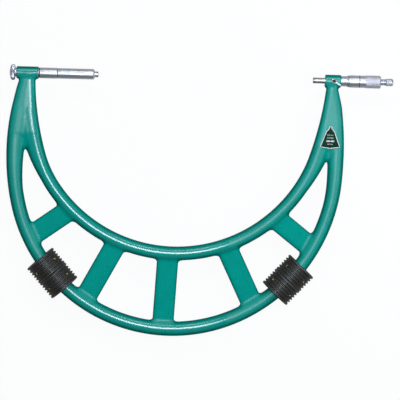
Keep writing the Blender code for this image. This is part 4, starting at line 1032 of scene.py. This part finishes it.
def wrapped(radiusAt, x, angle):
    # carries flat words onto the turned surface: along X and round by arc length; angle 0 is the front
    def place(points):
        alongX = x + points[:, 0]
        r = radiusAt(alongX)
        a = angle + points[:, 1] / r
        r = r + points[:, 2]
        return np.stack([alongX, r * np.sin(a), r * np.cos(a)], axis=-1)
    return place


def onSleeve(x):
    return head["sleeve"] / 2 + 0 * x


def onThimble(x):
    edge, body = head["thimbleEdge"] / 2, head["thimble"] / 2
    return edge + (body - edge) * np.clip((x - thimbleStart) / head["bevel"], 0, 1)


def onRod(x):
    return anvil["rod"] / 2 + 0 * x


def addWords(name, body, words):
    # every word is (words, size, surface, x, angle)
    meshes = [lettering(name + str(k), text, size, scale["depth"], wrapped(*place))
              for k, (text, size, *place) in enumerate(words)]
    addPiece(name, joined(meshes, name), "markBlack", body)


def graduations():
    r, half, size = head["sleeve"] / 2, scale["line"] / 2, scale["numeral"]
    zero, boss = thimbleStart + 0.02, casting["rightBoss"][1]
    index = radians(scale["index"])  # the reading line, a little above the middle
    marks = [(boss + 3.0, sleeveEnd - 0.5, index - half / r, index + half / r)]
    for k in range(51):
        # whole millimetres stand above the reading line and half ones hang below it
        low, high = (-1.5, 0) if k % 2 else (0, 1.7 if k % 10 else 2.6)
        marks.append((zero + k / 2 - half, zero + k / 2 + half, index + low / r, index + high / r))
    addPiece("sleeveScale", stripes("sleeveScale", onSleeve, marks), "markBlack")
    words = [(str(k), size, onSleeve, zero + k, index + 3.6 / r) for k in range(5, 26, 5)]
    words.append(("0.01 mm", 1.5, onSleeve, boss + 4.8, index - 2.6 / r))
    addWords("sleeveNumbers", "frame_body", words)
    turns = [index + 2 * pi * k / 50 for k in range(50)]
    marks = [(thimbleStart + 0.15, thimbleStart + (2.4 if k % 5 else head["bevel"] - 0.5),
              a - half / 7.8, a + half / 7.8) for k, a in enumerate(turns)]
    addPiece("thimbleScale", stripes("thimbleScale", onThimble, marks), "markBlack", "thimble_body")
    middle = thimbleStart + head["bevel"] + 1.4
    words = [(str(k), size, onThimble, middle, turns[k]) for k in range(0, 50, 5)]
    addWords("thimbleNumbers", "thimble_body", words)
    addWords("anvilSize", "frame_body", [("300 mm", 1.9, onRod, -32.5, radians(-12))])


graduations()
print("graduations made")


# CAD nodes that stay, with their own finishes

for name in ("inner_sleeve", "adjusting_nut", "ratchet_disc", "ratchet_spring", "ratchet_screw",
             "lock_shoe"):
    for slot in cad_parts[name].material_slots:
        slot.material = finishes["brass" if name == "lock_shoe" else "groundSteel"]


# floor, light and camera; places and sizes of lamps are in metres

studio = dict(
    floor=-23.7, floorSize=6000.0, floorTone=0.95, bounceTone=0.35, cameraShare=0.92,
    glossyShare=0.3, sky=(0.93, 0.95, 1.0), backdrop=0.97,
    levels=((0.0, 0.25), (0.75, 0.12), (0.97, 0.03)),  # of the sky, from the horizon up
    leftKey=dict(energy=4.0, size=(0.35, 0.45), place=(-0.12, 1.2, 1.15), color=(0.90, 0.92, 1.0)),
    rightKey=dict(energy=4.0, size=(0.35, 0.45), place=(0.44, 1.2, 1.15), color=(0.90, 0.92, 1.0)),
    front=dict(energy=29.5, size=(0.38, 0.62), place=(0.15, 0.06, 2.2), color=(0.80, 0.90, 1.0)),
    side=dict(energy=1.3, size=(0.35, 0.5), place=(0.75, -0.10, 0.45), color=(0.90, 0.93, 1.0)),
    lampAim=(0.14, -0.17, 0.0),
    aim=(146.7, -171.8), pitch=4.0, yaw=-1.2, roll=1.62, distance=3.5, pixel=1.4015,
    sensor=36.0, pixels=400,
)


def makeFloor():
    # a pale floor that takes shadows, and glows for the camera and a little for reflections
    size, z = studio["floorSize"], studio["floor"]
    corners = [(-size, -size, z), (size, -size, z), (size, size, z), (-size, size, z)]
    floor = newObject("floor", meshFromArrays("floor", corners, [(0, 1, 2, 3)]))
    material = bpy.data.materials.new("floorWhite")
    material.use_nodes = True
    tree = material.node_tree
    tree.nodes.clear()
    light = node(tree, "LightPath")
    byCamera = light["Is Camera Ray"]
    tone = mapped(tree, byCamera, 0.0, 1.0, studio["bounceTone"], studio["floorTone"])
    seen = worked(tree, "MULTIPLY", byCamera, studio["cameraShare"])
    mirrored = worked(tree, "MAXIMUM", light["Is Glossy Ray"], light["Is Transmission Ray"])
    mirrored = worked(tree, "MULTIPLY", mirrored, studio["glossyShare"])
    matte = node(tree, "BsdfDiffuse", {"Color": tone})[0]
    glow = node(tree, "Emission", {"Color": (1, 1, 1, 1), "Strength": 1.0})[0]
    share = worked(tree, "MAXIMUM", seen, mirrored)
    surface = node(tree, "MixShader", {0: share, 1: matte, 2: glow})[0]
    node(tree, "OutputMaterial", {"Surface": surface})
    floor.data.materials.append(material)


def areaLight(name, energy, size, place, color):
    data = bpy.data.lights.new(name, "AREA")
    data.shape, data.energy, data.color = "RECTANGLE", energy, color
    data.size, data.size_y = size
    lamp = newObject(name, data)
    lamp.location = place
    direction = Vector(place) - Vector(studio["lampAim"])
    lamp.rotation_euler = direction.to_track_quat("Z", "Y").to_euler()


def makeWorld():
    # a dim room: nearly dark overhead, where the camera stands, and paler towards the horizon;
    # the camera itself sees a plain white one
    world = bpy.data.worlds.new("studio")
    bpy.context.scene.world = world
    world.use_nodes = True
    tree = world.node_tree
    place = node(tree, "TexCoord")["Generated"]
    height = node(tree, "SeparateXYZ", {0: place})["Z"]
    ramp = tree.nodes.new("ShaderNodeValToRGB")
    feed(tree, ramp.inputs, {0: height})
    stops = ramp.color_ramp.elements
    for number, (at, level) in enumerate(studio["levels"]):
        stop = stops[number] if number < 2 else stops.new(at)
        stop.position = at
        stop.color = (*(level * c for c in studio["sky"]), 1)
    byCamera = node(tree, "LightPath")["Is Camera Ray"]
    backdrop = (*(studio["backdrop"],) * 3, 1)
    color = mixed(tree, byCamera, ramp.outputs["Color"], backdrop)
    feed(tree, tree.nodes["Background"].inputs, {"Color": color})


def makeCamera():
    data = bpy.data.cameras.new("camera")
    camera = newObject("camera", data)
    pitch, yaw, roll = (radians(studio[k]) for k in ("pitch", "yaw", "roll"))
    back = Vector((sin(yaw) * cos(pitch), sin(pitch), cos(yaw) * cos(pitch)))
    right = Vector((0, 1, 0)).cross(back).normalized()
    up = back.cross(right)
    right, up = right * cos(roll) + up * sin(roll), up * cos(roll) - right * sin(roll)
    aim = Vector((studio["aim"][0] * mm, studio["aim"][1] * mm, 0))
    turn = Matrix((right, up, back)).transposed().to_4x4()
    camera.matrix_world = Matrix.Translation(aim + back * studio["distance"]) @ turn
    data.sensor_width = studio["sensor"]
    data.lens = studio["sensor"] / studio["pixels"] * studio["distance"] / (studio["pixel"] * mm)
    data.clip_end = 50.0
    bpy.context.scene.camera = camera


makeFloor()
for name in ("leftKey", "rightKey", "front", "side"):
    areaLight(name + "Light", **studio[name])
makeWorld()
makeCamera()
bpy.context.scene.view_settings.view_transform = "Standard"
print("studio made")
